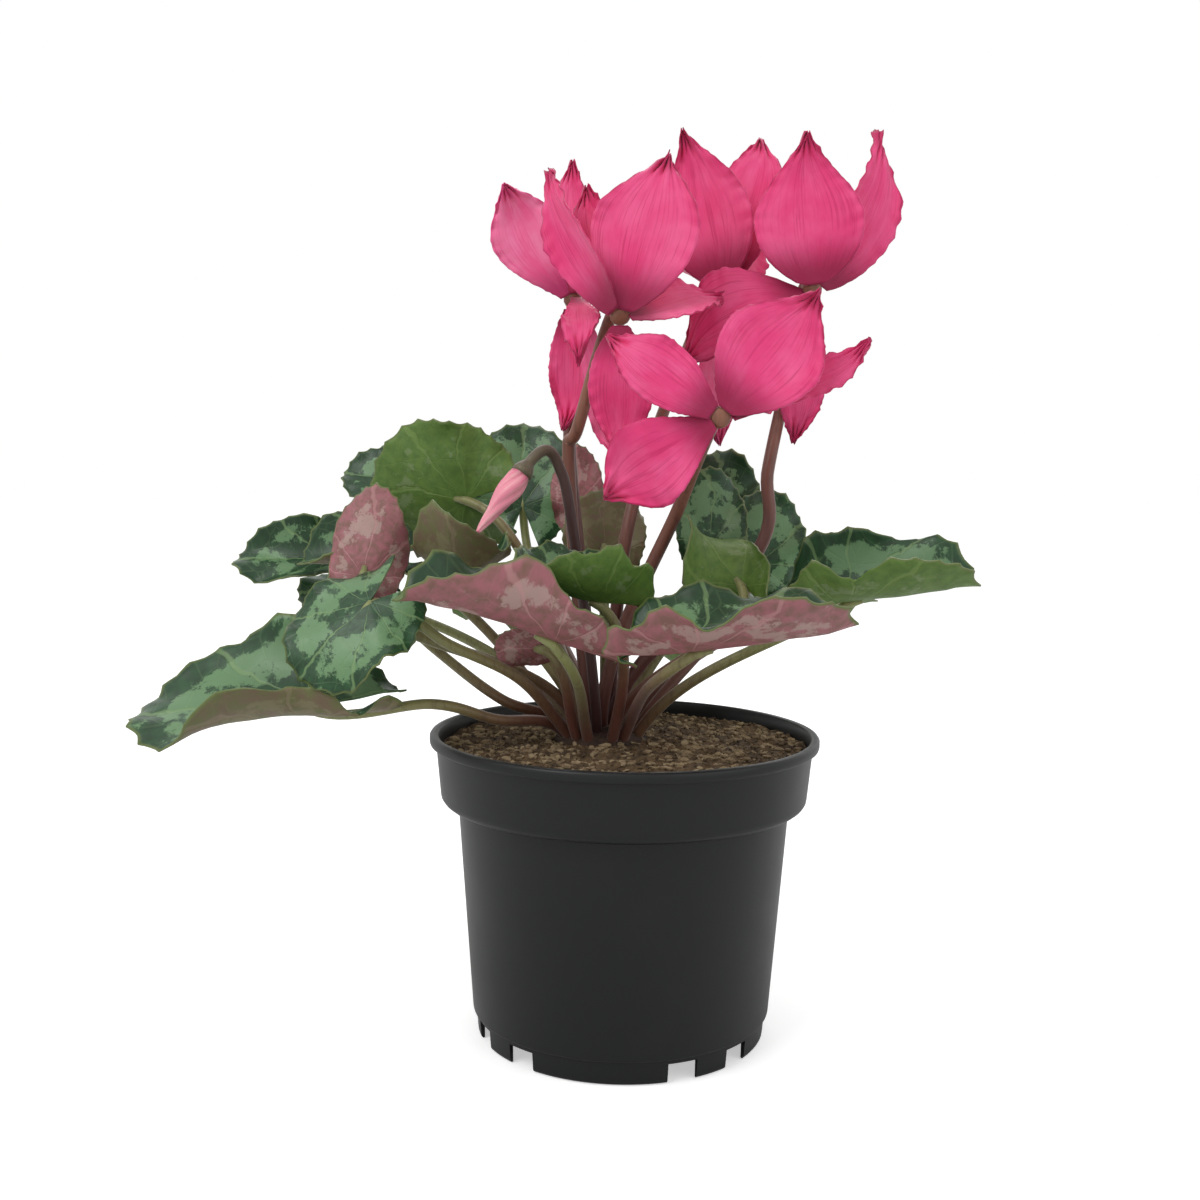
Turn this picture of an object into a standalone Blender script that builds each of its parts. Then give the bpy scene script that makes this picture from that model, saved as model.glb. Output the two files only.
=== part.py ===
"""Potted cyclamen, modelled part by part.

A black nursery pot holds its soil and a half-buried tuber. Leaves and flower
stalks fan out from the tuber's crown. Each leaf is one solid, blade and stalk
together. Each petal is a solid of its own around the mouth of its flower.

Lengths are in millimetres here and become metres when a mesh is made. Angles
are in degrees. An azimuth of 0 is +X and 90 is +Y. The origin is the middle of
the pot's underside, +Z is up, and -Y is the front.
"""
import math

import bmesh
import bpy
from mathutils import Matrix, Vector, noise

MM = 0.001
GAP = 0.3

# Pot
POT_HEIGHT = 101.8
LIP_RADIUS = 65.0
COLLAR_RADIUS = 62.8
COLLAR_FOOT_Z = 78.6
WALL_TOP_RADIUS = 55.4
FOOT_RADIUS = 49.0
FOOT_STEP_Z = 8.0
WALL = 1.2
FLOOR_Z = 6.0
PAD_RADIUS = 20.0
POT_STEPS = 40
NOTCH_ANGLES = (24, 50, 114, 140, 204, 230, 294, 320)
NOTCH_WIDTH = 10.0
NOTCH_HEIGHT = 6.4
NOTCH_INNER = 44.0
NOTCH_OUTER = 53.0
HOLE_OUTER = 47.9

# Soil and tuber
SOIL_EDGE_Z = 97.2
SOIL_CROWN_Z = 98.0
SOIL_ROUGHNESS = 0.7
SOIL_STEPS = 24
CROWN = Vector((-8.0, 6.0, 95.0))
TUBER_RADIUS = 17.0
TUBER_RISE = 8.6
TUBER_DEPTH = 14.0

# Growing rings on the tuber's crown, from the outside in
RING_RADIUS = (13.2, 8.7, 4.0)

# Leaf blades, petals and stalks
LEAF_THICK = 0.9
LEAF_SPREAD = 158.0
LEAF_SEGMENTS = (10, 3)
LEAF_WAVE = 1.6
PETAL_THICK = 0.7
PETAL_FOOT = 1.4
PETAL_SEGMENTS = (4, 5)
LEAF_STALK_RADIUS = 1.8
FLOWER_STALK_RADIUS = 2.2
STALK_POINTS = 7
STALK_END_SCALE = 0.5
MOUTH_RADIUS = 4.2

# Each leaf: where the stalk meets the blade, the way from there to the tip, the
# way the upper face looks, the length to the tip, the breadth as a share of the
# usual one, the bend of the midrib, the fold at the midrib, the curl of the left
# and right halves at base and tip, the twist, and where it grows on the crown.
LEAVES = {
    "leaf_left_low": dict(at=(-101, -22, 112), head=(185, 0), face=(-90, 63), size=58, broad=0.78,
                          bend=-4, fold=4, left=(120, -40), right=(35, -5), root=(0, 198), rise=42,
                          via=((-42, -14, 107.5), (-62, -21, 113.5))),
    "leaf_left_front": dict(at=(-80, -32, 147), head=(207, -38), face=(-100, 42), size=32, broad=1.0,
                            bend=-15, fold=-4, left=(-20, -15), right=(-20, -10), root=(0, 216), rise=45,
                            via=((-34, -15, 121), (-56, -23, 133))),
    "leaf_left_back": dict(at=(-96, 44, 141), head=(175, 2), face=(-90, 40), size=25, broad=0.7,
                           bend=5, fold=10, left=(60, 10), right=(10, 10), root=(0, 144), rise=45),
    "leaf_left_tip": dict(at=(-106, 28, 157), head=(180, -3), face=(-88, 35), size=34, broad=0.6,
                          bend=5, fold=15, left=(40, -40), right=(20, 10), root=(0, 162), rise=45,
                          via=((-42, 5, 111), (-67, 12, 128))),
    "leaf_left_grey": dict(at=(-84, 12, 158), head=(180, 0), face=(-90, 45), size=29, broad=0.9,
                           bend=0, fold=10, left=(100, 60), right=(15, 10), root=(0, 180)),
    "leaf_left_high": dict(at=(-84, 70, 182), head=(170, 12), face=(-90, 40), size=27, broad=0.8,
                           bend=0, fold=10, left=(20, 10), right=(10, 10), root=(0, 126),
                           via=((-48, 42, 150),)),
    "leaf_standing": dict(at=(-56, 22, 178), head=(176, 6), face=(92, 15), size=36, broad=1.15,
                          bend=10, fold=0, left=(25, 20), right=(60, 60), root=(1, 168)),
    "leaf_silver_back": dict(at=(-40, 68, 175), head=(95, 75), face=(-90, 10), size=33, broad=0.95,
                             bend=0, fold=5, left=(10, 10), right=(10, 10), root=(1, 140)),
    "leaf_pink_left": dict(at=(-86, -10, 153), head=(60, 78), face=(88, 12), size=32, broad=0.62,
                           bend=10, fold=0, left=(30, 30), right=(30, 30), root=(1, 196)),
    "leaf_cupped": dict(at=(-54, 2, 154), head=(265, -8), face=(-80, 85), size=38, broad=0.75,
                        bend=85, fold=10, left=(40, 40), right=(40, 40), root=(1, 224)),
    "leaf_centre": dict(at=(-8, -30, 148), head=(205, 10), face=(-90, 80), size=32, broad=1.0,
                        bend=10, fold=30, left=(70, 70), right=(30, 30), root=(0, 288)),
    "leaf_folded": dict(at=(38, -10, 152), head=(152, 46), face=(90, 35), size=30, broad=0.7,
                        bend=0, fold=0, left=(10, 10), right=(10, 10), twist=-150, root=(1, 304)),
    "leaf_front": dict(at=(20, -52, 136), head=(-9, 9), face=(-90, 84), size=49, broad=0.88,
                       bend=0, fold=18, left=(25, 25), right=(50, 40), root=(0, 306)),
    "leaf_right": dict(at=(71, -14, 148), head=(-13, 9), face=(-90, 68), size=42, broad=0.88,
                       bend=0, fold=25, left=(60, 50), right=(75, 60), root=(0, 342)),
    "leaf_dark_back": dict(at=(34, 44, 166), head=(100, 75), face=(-90, 15), size=32, broad=0.75,
                           bend=0, fold=5, left=(10, 10), right=(10, 10), root=(1, 56)),
    "leaf_right_inner": dict(at=(46, 26, 157), head=(60, 70), face=(-80, 20), size=27, broad=0.85,
                             bend=0, fold=5, left=(10, 10), right=(10, 10), root=(0, 18)),
    "leaf_silver_centre": dict(at=(29, 17, 164), head=(100, 78), face=(-90, 12), size=27, broad=0.7,
                               bend=0, fold=5, left=(10, 10), right=(10, 10), root=(1, 28)),
    "leaf_brown_centre": dict(at=(-8, 28, 160), head=(95, 72), face=(88, 10), size=24, broad=0.95,
                              bend=0, fold=5, left=(10, 10), right=(10, 10), root=(1, 84)),
    "leaf_pink_back": dict(at=(-19, 50, 176), head=(90, 70), face=(90, 0), size=23, broad=0.65,
                           bend=0, fold=5, left=(10, 10), right=(10, 10), root=(1, 112)),
    "leaf_long_front": dict(at=(-22, -40, 137), head=(192, 21), face=(-90, 84), size=50, broad=0.62,
                            bend=0, fold=25, left=(60, 90), right=(10, 10), root=(0, 252)),
    "leaf_young": dict(at=(-28, -12, 131), head=(185, -5), face=(88, 20), size=15, broad=0.9,
                       bend=0, fold=10, left=(30, 30), right=(30, 30), root=(0, 234)),
    "leaf_rear_left": dict(at=(-38, 68, 141), head=(120, -6), face=(125, 75), size=44, broad=0.9,
                           bend=-15, fold=8, left=(15, 10), right=(15, 10), root=(0, 108)),
    "leaf_rear": dict(at=(16, 76, 126), head=(85, -10), face=(85, 75), size=46, broad=0.9,
                      bend=-15, fold=8, left=(15, 10), right=(15, 10), root=(0, 72)),
    "leaf_rear_right": dict(at=(58, 58, 140), head=(45, -4), face=(45, 75), size=44, broad=0.9,
                            bend=-15, fold=8, left=(15, 10), right=(15, 10), root=(0, 36)),
}

# Each flower: the middle of its mouth, the way the mouth looks, the points that
# its stalk passes, where the stalk grows, and its petals. Each petal: the way to
# its tip, the way its broad face looks, length, width, where it is widest, the
# sideways bow, the bend along it and the curl of its sides.
FLOWERS = {
    "left": dict(
        at=(-3, -15, 237), mouth=(-80, -30), via=((-20, 10, 189), (-17, 5, 203)), root=(2, 200),
        petals=(
            dict(head=(15, 75), face=(-90, 8), size=53, width=35, belly=0.5, bow=0, bend=-10, curl=20),
            dict(head=(170, 57), face=(-150, 20), size=52, width=20, belly=0.5, bow=0, bend=-10, curl=30,
                 shift=(-2, -1, 0)),
            dict(head=(131, 67), face=(-90, 20), size=42, width=18, belly=0.6, bow=0, bend=-10, curl=20,
                 shift=(-5, 6, 4)),
            dict(head=(20, 20), face=(-90, 45), size=34, width=26, belly=0.6, bow=0, bend=-10, curl=20),
            dict(head=(-85, -80), face=(-90, 10), size=42, width=21, belly=0.5, bow=0, bend=-10, curl=20),
        )),
    "far_left": dict(
        at=(-20, 20, 246), mouth=(-100, -30), via=((-20, 24, 190), (-20, 27, 215)), root=(2, 128),
        petals=(
            dict(head=(185, 60), face=(-100, 15), size=42, width=24, belly=0.6, bow=-3, bend=-10, curl=20),
            dict(head=(120, 80), face=(-90, 10), size=46, width=14, belly=0.6, bow=0, bend=-10, curl=20,
                 shift=(4, -1, 1)),
            dict(head=(-90, -82), face=(-90, 5), size=42, width=15, belly=0.5, bow=0, bend=-10, curl=20,
                 shift=(-1, 3, 0)),
            dict(head=(-43, -71), face=(-90, 10), size=55, width=12, belly=0.7, bow=0, bend=0, curl=20,
                 shift=(4, -2, 0)),
            dict(head=(-85, -20), face=(-90, 60), size=38, width=13, belly=0.7, bow=0, bend=-10, curl=20),
        )),
    "back": dict(
        at=(31, 25, 251), mouth=(-90, -30), via=((0, 4, 169), (14, 26, 215)), root=(2, 56),
        petals=(
            dict(head=(150, 76), face=(-90, 5), size=54, width=32, belly=0.42, bow=0, bend=-10, curl=20),
            dict(head=(45, 70), face=(-90, 10), size=61, width=24, belly=0.55, bow=0, bend=-10, curl=20,
                 shift=(3, 4, 0)),
            dict(head=(-90, -88), face=(-90, 5), size=50, width=16, belly=0.6, bow=0, bend=-10, curl=20),
            dict(head=(120, 28), face=(90, 50), size=44, width=26, belly=0.6, bow=0, bend=-10, curl=20,
                 shift=(-2, 3, 2)),
            dict(head=(70, 40), face=(60, 40), size=42, width=26, belly=0.6, bow=0, bend=-10, curl=20,
                 shift=(3, 5, 0)),
        )),
    "right": dict(
        at=(60, 5, 248), mouth=(-80, -30), via=((43, 5, 161), (47, 9, 190), (54, 18, 222)), root=(2, 344),
        petals=(
            dict(head=(170, 84), face=(-90, 5), size=48, width=36, belly=0.42, bow=0, bend=-10, curl=20,
                 shift=(0, -2, 0)),
            dict(head=(10, 62), face=(-50, -5), size=57, width=22, belly=0.45, bow=4, bend=-10, curl=20,
                 shift=(3, 4, 0)),
            dict(head=(75, 72), face=(-90, 10), size=48, width=26, belly=0.6, bow=0, bend=-10, curl=20,
                 shift=(2, 8, 0)),
            dict(head=(190, -22), face=(-90, 25), size=45, width=30, belly=0.55, bow=4, bend=-10, curl=20),
            dict(head=(180, -86), face=(-90, 5), size=47, width=16, belly=0.6, bow=0, bend=-10, curl=20),
        )),
    "front": dict(
        at=(27, -45, 205), mouth=(-90, -5), via=((18, -2, 180),), root=(2, 272),
        petals=(
            dict(head=(182, 36), face=(-90, 10), size=39, width=21, belly=0.55, bow=0, bend=-10, curl=20),
            dict(head=(8, 52), face=(-90, 10), size=44, width=33, belly=0.5, bow=0, bend=-10, curl=20),
            dict(head=(12, 26), face=(-60, 50), size=49, width=13, belly=0.6, bow=0, bend=-10, curl=20,
                 shift=(2, 4, -1)),
            dict(head=(70, 5), face=(-90, 60), size=36, width=20, belly=0.6, bow=0, bend=-10, curl=20,
                 shift=(-2, 4, 3)),
            dict(head=(180, -33), face=(-90, 10), size=39, width=27, belly=0.6, bow=0, bend=-10, curl=20),
        )),
}

# The bud hangs from its own hooked stalk.
BUD = dict(at=(-31, -24, 191), via=((-18, -15, 173), (-22, -18, 190), (-26, -21, 195)),
           root=(1, 262), head=(205, -52), size=24, radius=3.6)


def direction(azimuth, elevation):
    """Unit vector from an azimuth and an elevation."""
    a, e = math.radians(azimuth), math.radians(elevation)
    return Vector((math.cos(e) * math.cos(a), math.cos(e) * math.sin(a), math.sin(e)))


def blade_frame(at, head, face):
    """Frame with Y to the tip, Z out of the upper face and X to the right."""
    y = direction(*head)
    z = direction(*face)
    z = (z - z.dot(y) * y).normalized()
    x = y.cross(z)
    rows = [(x[i], y[i], z[i], at[i]) for i in range(3)]
    return Matrix(rows + [(0, 0, 0, 1)])


def bent_point(x, y, spec):
    """Where a point of the flat blade lies once the midrib is bent and both halves are curled."""
    t = y / spec["size"]
    bend = math.radians(spec["bend"])
    along, up, steps = 0.0, 0.0, 12
    for k in range(steps):
        angle = bend * t * (k + 0.5) / steps
        along += y / steps * math.cos(angle)
        up += y / steps * math.sin(angle)
    angle = bend * t
    share = min(max(t, 0.0), 1.0)
    base, tip = spec["right"] if x > 0 else spec["left"]
    curl = math.radians(base + (tip - base) * share)
    fold = math.radians(spec["fold"])
    across, rise = 0.0, 0.0
    for k in range(steps):
        lean = fold + curl * abs(x) / spec["half"] * (k + 0.5) / steps
        across += abs(x) / steps * math.cos(lean)
        rise += abs(x) / steps * math.sin(lean)
    twist = math.radians(spec.get("twist", 0)) * t
    side = math.copysign(across, x)
    side, rise = (side * math.cos(twist) - rise * math.sin(twist),
                  side * math.sin(twist) + rise * math.cos(twist))
    return Vector((side, along - rise * math.sin(angle), up + rise * math.cos(angle)))


def leaf_reach(phi):
    """Distance from the stalk's joint to the margin, as a share of the leaf's length."""
    c = math.cos(phi)
    return 0.63 + 0.211 * c + 0.159 * c * c


def leaf_point(u, v, spec):
    """Blade point: u from -1 to 1 round the joint, v from 0 at the joint to 1 at the margin."""
    phi = math.radians(LEAF_SPREAD) * u
    reach = leaf_reach(phi) * spec["size"] * v
    x = reach * math.sin(phi) * spec["broad"]
    y = reach * math.cos(phi)
    point = bent_point(x, y, spec)
    point.z += LEAF_WAVE * v * v * math.sin(5.0 * phi + spec["size"])
    return point


def petal_point(u, v, spec):
    """Petal point: u from -1 to 1 across, v from 0 at the foot to 1 at the tip."""
    power = math.log(0.5) / math.log(spec["belly"])
    swell = math.sin(math.pi * min(v, 0.999) ** power) ** 0.85
    half = PETAL_FOOT + (spec["half"] - PETAL_FOOT) * swell
    point = bent_point(u * half, v * spec["size"], spec)
    point.x += spec["bow"] * math.sin(math.pi * v)
    return point


def sheet_mesh(name, segments, point_at, spec, frame):
    """Open grid laid over a blade's surface, in world metres."""
    bm = bmesh.new()
    bmesh.ops.create_grid(bm, x_segments=segments[0], y_segments=segments[1], size=1.0)
    for vert in bm.verts:
        local = point_at(vert.co.x, 0.5 * (vert.co.y + 1.0), spec)
        vert.co = (frame @ local) * MM
    bmesh.ops.remove_doubles(bm, verts=bm.verts, dist=1e-6)
    mesh = bpy.data.meshes.new(name)
    bm.to_mesh(mesh)
    bm.free()
    mesh.shade_smooth()
    return mesh


def material(name, color, roughness, metallic=0.0):
    """Principled material, made once for each name."""
    found = bpy.data.materials.get(name)
    if found:
        return found
    made = bpy.data.materials.new(name)
    made.use_nodes = True
    shader = made.node_tree.nodes["Principled BSDF"]
    shader.inputs["Base Color"].default_value = (*color, 1.0)
    shader.inputs["Roughness"].default_value = roughness
    shader.inputs["Metallic"].default_value = metallic
    made.diffuse_color = (*color, 1.0)
    return made


def add_object(name, mesh, collection, finish):
    """Put a mesh in a collection under its name, with its material."""
    mesh.materials.clear()
    mesh.materials.append(finish)
    obj = bpy.data.objects.new(name, mesh)
    collection.objects.link(obj)
    return obj


def make_cutter(obj):
    """Mark an object as a helper that is not a part."""
    obj.hide_render = True
    obj.display_type = "WIRE"


def ring_root(ring, azimuth):
    """Point and outward direction on the tuber's crown."""
    radius = RING_RADIUS[ring]
    height = TUBER_RISE * math.sqrt(1.0 - (radius / TUBER_RADIUS) ** 2)
    a = math.radians(azimuth)
    out = Vector((math.cos(a), math.sin(a), 0.0))
    normal = (out * radius / TUBER_RADIUS ** 2
              + Vector((0, 0, height / TUBER_RISE ** 2))).normalized()
    return CROWN + out * radius + Vector((0, 0, height)) + normal * 3.0 * GAP, normal


def smooth_path(points, start, end, count):
    """Smooth curve through points, leaving along start and arriving along end."""
    tangents = []
    for i, point in enumerate(points):
        if i == 0:
            tangents.append(start * (points[1] - point).length)
        elif i == len(points) - 1:
            tangents.append(end * (point - points[i - 1]).length)
        else:
            tangents.append((points[i + 1] - points[i - 1]) * 0.5)
    spans = len(points) - 1
    path = []
    for k in range(count):
        place = spans * k / (count - 1)
        i = min(int(place), spans - 1)
        t = place - i
        path.append((2 * t ** 3 - 3 * t ** 2 + 1) * points[i] + (t ** 3 - 2 * t ** 2 + t) * tangents[i]
                    + (3 * t ** 2 - 2 * t ** 3) * points[i + 1] + (t ** 3 - t ** 2) * tangents[i + 1])
    return path


def tube_mesh(name, path, radius, scales):
    """Closed tube along a path, in world metres."""
    curve = bpy.data.curves.new(name, "CURVE")
    curve.dimensions = "3D"
    curve.bevel_depth = radius * MM
    curve.bevel_resolution = 1
    curve.use_fill_caps = True
    spline = curve.splines.new("POLY")
    spline.points.add(len(path) - 1)
    for point, place, scale in zip(spline.points, path, scales):
        point.co = (*(place * MM), 1.0)
        point.radius = scale
    helper = bpy.data.objects.new(name, curve)
    bpy.context.scene.collection.objects.link(helper)
    bpy.context.view_layer.update()
    evaluated = helper.evaluated_get(bpy.context.evaluated_depsgraph_get())
    mesh = bpy.data.meshes.new_from_object(evaluated)
    bpy.data.objects.remove(helper)
    bpy.data.curves.remove(curve)
    bm = bmesh.new()
    bm.from_mesh(mesh)
    bmesh.ops.remove_doubles(bm, verts=bm.verts, dist=1e-6)
    bmesh.ops.recalc_face_normals(bm, faces=bm.faces)
    bm.to_mesh(mesh)
    bm.free()
    mesh.shade_smooth()
    return mesh


def turned(name, profile, steps, collection, finish):
    """Solid of revolution about Z from (radius, z) points in millimetres."""
    mesh = bpy.data.meshes.new(name)
    bm = bmesh.new()
    verts = [bm.verts.new((r * MM, 0.0, z * MM)) for r, z in profile]
    for a, b in zip(verts, verts[1:]):
        bm.edges.new((a, b))
    bm.to_mesh(mesh)
    bm.free()
    obj = add_object(name, mesh, collection, finish)
    screw = obj.modifiers.new("Turn", "SCREW")
    screw.steps = steps
    screw.render_steps = steps
    screw.use_merge_vertices = True
    screw.merge_threshold = 1e-5
    return obj


def inner_wall(z):
    """Inside radius of the pot's wall below the collar."""
    share = (z - FOOT_STEP_Z) / (COLLAR_FOOT_Z - FOOT_STEP_Z)
    return FOOT_RADIUS + WALL + (WALL_TOP_RADIUS - FOOT_RADIUS - WALL) * share - WALL


def make_pot(parts, cutters):
    """Pot: turned shell with a lip, a collar, a stepped foot and a raised pad under the floor."""
    floor_top = FLOOR_Z + WALL
    wall_foot = FOOT_RADIUS + WALL
    collar_foot = COLLAR_RADIUS - 1.5
    profile = (
        (0.0, WALL), (PAD_RADIUS - 0.8, WALL), (PAD_RADIUS + 3.2, floor_top),
        (inner_wall(FOOT_STEP_Z) - 0.5, floor_top), (inner_wall(FOOT_STEP_Z), FOOT_STEP_Z + 0.3),
        (inner_wall(COLLAR_FOOT_Z), COLLAR_FOOT_Z + 1.1), (collar_foot - WALL - 1.6, COLLAR_FOOT_Z + 1.4),
        (collar_foot - WALL, COLLAR_FOOT_Z + 3.2), (COLLAR_RADIUS - WALL, 98.4),
        (LIP_RADIUS - 2.9, POT_HEIGHT - 0.8), (LIP_RADIUS - 2.3, POT_HEIGHT),
        (LIP_RADIUS - 0.8, POT_HEIGHT), (LIP_RADIUS, POT_HEIGHT - 0.8),
        (LIP_RADIUS, POT_HEIGHT - 2.8), (LIP_RADIUS - 0.5, POT_HEIGHT - 3.5),
        (COLLAR_RADIUS + 0.4, POT_HEIGHT - 3.5), (COLLAR_RADIUS, POT_HEIGHT - 4.3),
        (collar_foot, COLLAR_FOOT_Z + 3.4), (collar_foot - 0.8, COLLAR_FOOT_Z + 1.3),
        (collar_foot - 2.8, COLLAR_FOOT_Z + 0.3), (WALL_TOP_RADIUS + 0.3, COLLAR_FOOT_Z),
        (WALL_TOP_RADIUS, COLLAR_FOOT_Z - 0.8), (wall_foot, FOOT_STEP_Z + 0.4),
        (wall_foot - 0.4, FOOT_STEP_Z), (FOOT_RADIUS, FOOT_STEP_Z - 0.5),
        (FOOT_RADIUS - 0.5, 1.5), (FOOT_RADIUS - 0.9, 0.4), (FOOT_RADIUS - 1.4, 0.0),
        (FOOT_RADIUS - 1.8, 0.3), (FOOT_RADIUS - 1.7, FLOOR_Z), (PAD_RADIUS + 4.0, FLOOR_Z),
        (PAD_RADIUS + 0.4, 0.8), (PAD_RADIUS - 0.2, 0.0), (0.0, 0.0),
    )
    finish = material("black_plastic", (0.02, 0.021, 0.022), 0.45)
    pot = turned("pot", profile, POT_STEPS, parts, finish)
    bm = bmesh.new()
    outline = ((NOTCH_INNER, -1.0), (NOTCH_OUTER, -1.0), (NOTCH_OUTER, NOTCH_HEIGHT),
               (HOLE_OUTER, NOTCH_HEIGHT), (HOLE_OUTER, FLOOR_Z + 2.0), (NOTCH_INNER, FLOOR_Z + 2.0))
    for angle in NOTCH_ANGLES:
        turn = Matrix.Rotation(math.radians(angle - 90.0), 3, "Z")
        face = bm.faces.new([bm.verts.new(turn @ Vector((r, -NOTCH_WIDTH / 2, z)) * MM)
                             for r, z in outline])
        moved = bmesh.ops.extrude_face_region(bm, geom=[face])
        verts = [g for g in moved["geom"] if isinstance(g, bmesh.types.BMVert)]
        bmesh.ops.translate(bm, verts=verts, vec=turn @ Vector((0, NOTCH_WIDTH * MM, 0)))
    bmesh.ops.recalc_face_normals(bm, faces=bm.faces)
    mesh = bpy.data.meshes.new("notch_cutter")
    bm.to_mesh(mesh)
    bm.free()
    cutter = add_object("notch_cutter", mesh, cutters, finish)
    make_cutter(cutter)
    cut = pot.modifiers.new("Notches", "BOOLEAN")
    cut.operation = "DIFFERENCE"
    cut.object = cutter
    return pot


def tuber_mesh(name, grow):
    """Flattened, slightly lumpy ball, larger all round by grow."""
    bm = bmesh.new()
    bmesh.ops.create_uvsphere(bm, u_segments=18, v_segments=9, radius=1.0)
    for vert in bm.verts:
        rise = TUBER_RISE if vert.co.z > 0 else TUBER_DEPTH
        lump = 1.0 if vert.co.z > 0 else 1.0 - 0.06 * (1.0 + noise.noise(vert.co * 2.0))
        vert.co = (CROWN + Vector((vert.co.x * (TUBER_RADIUS * lump + grow),
                                   vert.co.y * (TUBER_RADIUS * lump + grow),
                                   vert.co.z * (rise * lump + grow)))) * MM
    mesh = bpy.data.meshes.new(name)
    bm.to_mesh(mesh)
    bm.free()
    mesh.shade_smooth()
    return mesh


def make_soil(parts, cutters):
    """Soil and tuber: the soil fills the pot and is hollowed round the tuber."""
    bark = material("tuber_skin", (0.05, 0.03, 0.02), 0.8)
    peat = material("peat", (0.12, 0.075, 0.04), 0.95)
    collar_in = COLLAR_RADIUS - 1.5 - WALL
    low, high = FLOOR_Z + WALL + GAP + 0.1, COLLAR_FOOT_Z + 1.4 + GAP
    rings = 6
    edge = COLLAR_RADIUS - WALL - GAP - 0.2
    profile = [(edge * k / rings, SOIL_CROWN_Z + (SOIL_EDGE_Z - SOIL_CROWN_Z) * (k / rings) ** 2)
               for k in range(rings + 1)]
    profile += [(collar_in - GAP - 0.15, COLLAR_FOOT_Z + 3.5), (collar_in - 1.7 - GAP, high + 0.1),
                (inner_wall(COLLAR_FOOT_Z) - GAP - 0.1, high + 0.1), (inner_wall(low) - GAP - 0.3, low + 0.8),
                (inner_wall(low) - GAP - 1.0, low), (PAD_RADIUS + 3.1, low),
                (PAD_RADIUS - 1.0, WALL + GAP + 0.1), (0.0, WALL + GAP + 0.1)]
    soil = turned("soil", profile, SOIL_STEPS, parts, peat)
    cutter = add_object("tuber_cutter", tuber_mesh("tuber_cutter", GAP), cutters, bark)
    make_cutter(cutter)
    cut = soil.modifiers.new("Hollow", "BOOLEAN")
    cut.operation = "DIFFERENCE"
    cut.object = cutter
    add_object("tuber", tuber_mesh("tuber", 0.0), parts, bark)


def make_leaf(name, leaf, parts, cutters):
    """Leaf: a heart-shaped blade with its stalk joined on underneath."""
    spec = dict(leaf, half=0.67 * leaf["size"] * leaf["broad"])
    frame = blade_frame(leaf["at"], leaf["head"], leaf["face"])
    finish = material("leaf_green", (0.03, 0.11, 0.04), 0.45)
    mesh = sheet_mesh(name, LEAF_SEGMENTS, leaf_point, spec, frame)
    blade = add_object(name, mesh, parts, finish)
    shell = blade.modifiers.new("Thickness", "SOLIDIFY")
    shell.thickness = LEAF_THICK * MM
    shell.offset = 0.0
    start, normal = ring_root(*leaf["root"])
    leave = direction(leaf["root"][1], leaf["rise"]) if "rise" in leaf else normal
    under = Vector((0, 0, -0.6 * LEAF_STALK_RADIUS))
    joint = frame @ (bent_point(0.0, 0.0, spec) + under)
    ending = frame @ (bent_point(0.0, 0.12 * spec["size"], spec) + under * STALK_END_SCALE)
    arrive = (frame.to_3x3() @ Vector((0, 1, 0.5))).normalized()
    points = [start] + [Vector(p) for p in leaf.get("via", ())] + [joint]
    path = smooth_path(points, leave, arrive, STALK_POINTS) + [ending]
    scales = [1.0] * (len(path) - 1) + [STALK_END_SCALE]
    stalk = add_object(name + "_stalk", tube_mesh(name + "_stalk", path, LEAF_STALK_RADIUS, scales),
                       cutters, finish)
    make_cutter(stalk)
    join = blade.modifiers.new("Stalk", "BOOLEAN")
    join.operation = "UNION"
    join.object = stalk


def make_flower(name, flower, parts):
    """Flower: a stalk that swells into a calyx behind the mouth, and the petals round it."""
    at = Vector(flower["at"])
    mouth = direction(*flower["mouth"])
    green = material("flower_stalk", (0.12, 0.035, 0.02), 0.5)
    pink = material("petal_pink", (0.85, 0.06, 0.2), 0.5)
    start, normal = ring_root(*flower["root"])
    calyx = at - mouth * 6.0
    points = [start] + [Vector(p) for p in flower["via"]] + [calyx]
    path = smooth_path(points, normal, mouth, STALK_POINTS + 4)
    path += [at - mouth * 3.5, at - mouth * 1.0]
    scales = [1.0] * (len(path) - 3) + [1.2, 1.5, 1.1]
    add_object("flower_stalk_" + name, tube_mesh(name, path, FLOWER_STALK_RADIUS, scales), parts, green)
    for number, petal in enumerate(flower["petals"], 1):
        heading = direction(*petal["head"])
        spread = heading - heading.dot(mouth) * mouth
        foot = at + spread.normalized() * MOUTH_RADIUS + Vector(petal.get("shift", (0, 0, 0)))
        spec = dict(petal, fold=0, half=petal["width"] / 2, left=(petal["curl"],) * 2,
                    right=(petal["curl"],) * 2)
        frame = blade_frame(foot, petal["head"], petal["face"])
        title = f"petal_{name}_{number}"
        obj = add_object(title, sheet_mesh(title, PETAL_SEGMENTS, petal_point, spec, frame), parts, pink)
        shell = obj.modifiers.new("Thickness", "SOLIDIFY")
        shell.thickness = PETAL_THICK * MM
        shell.offset = 0.0


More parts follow.
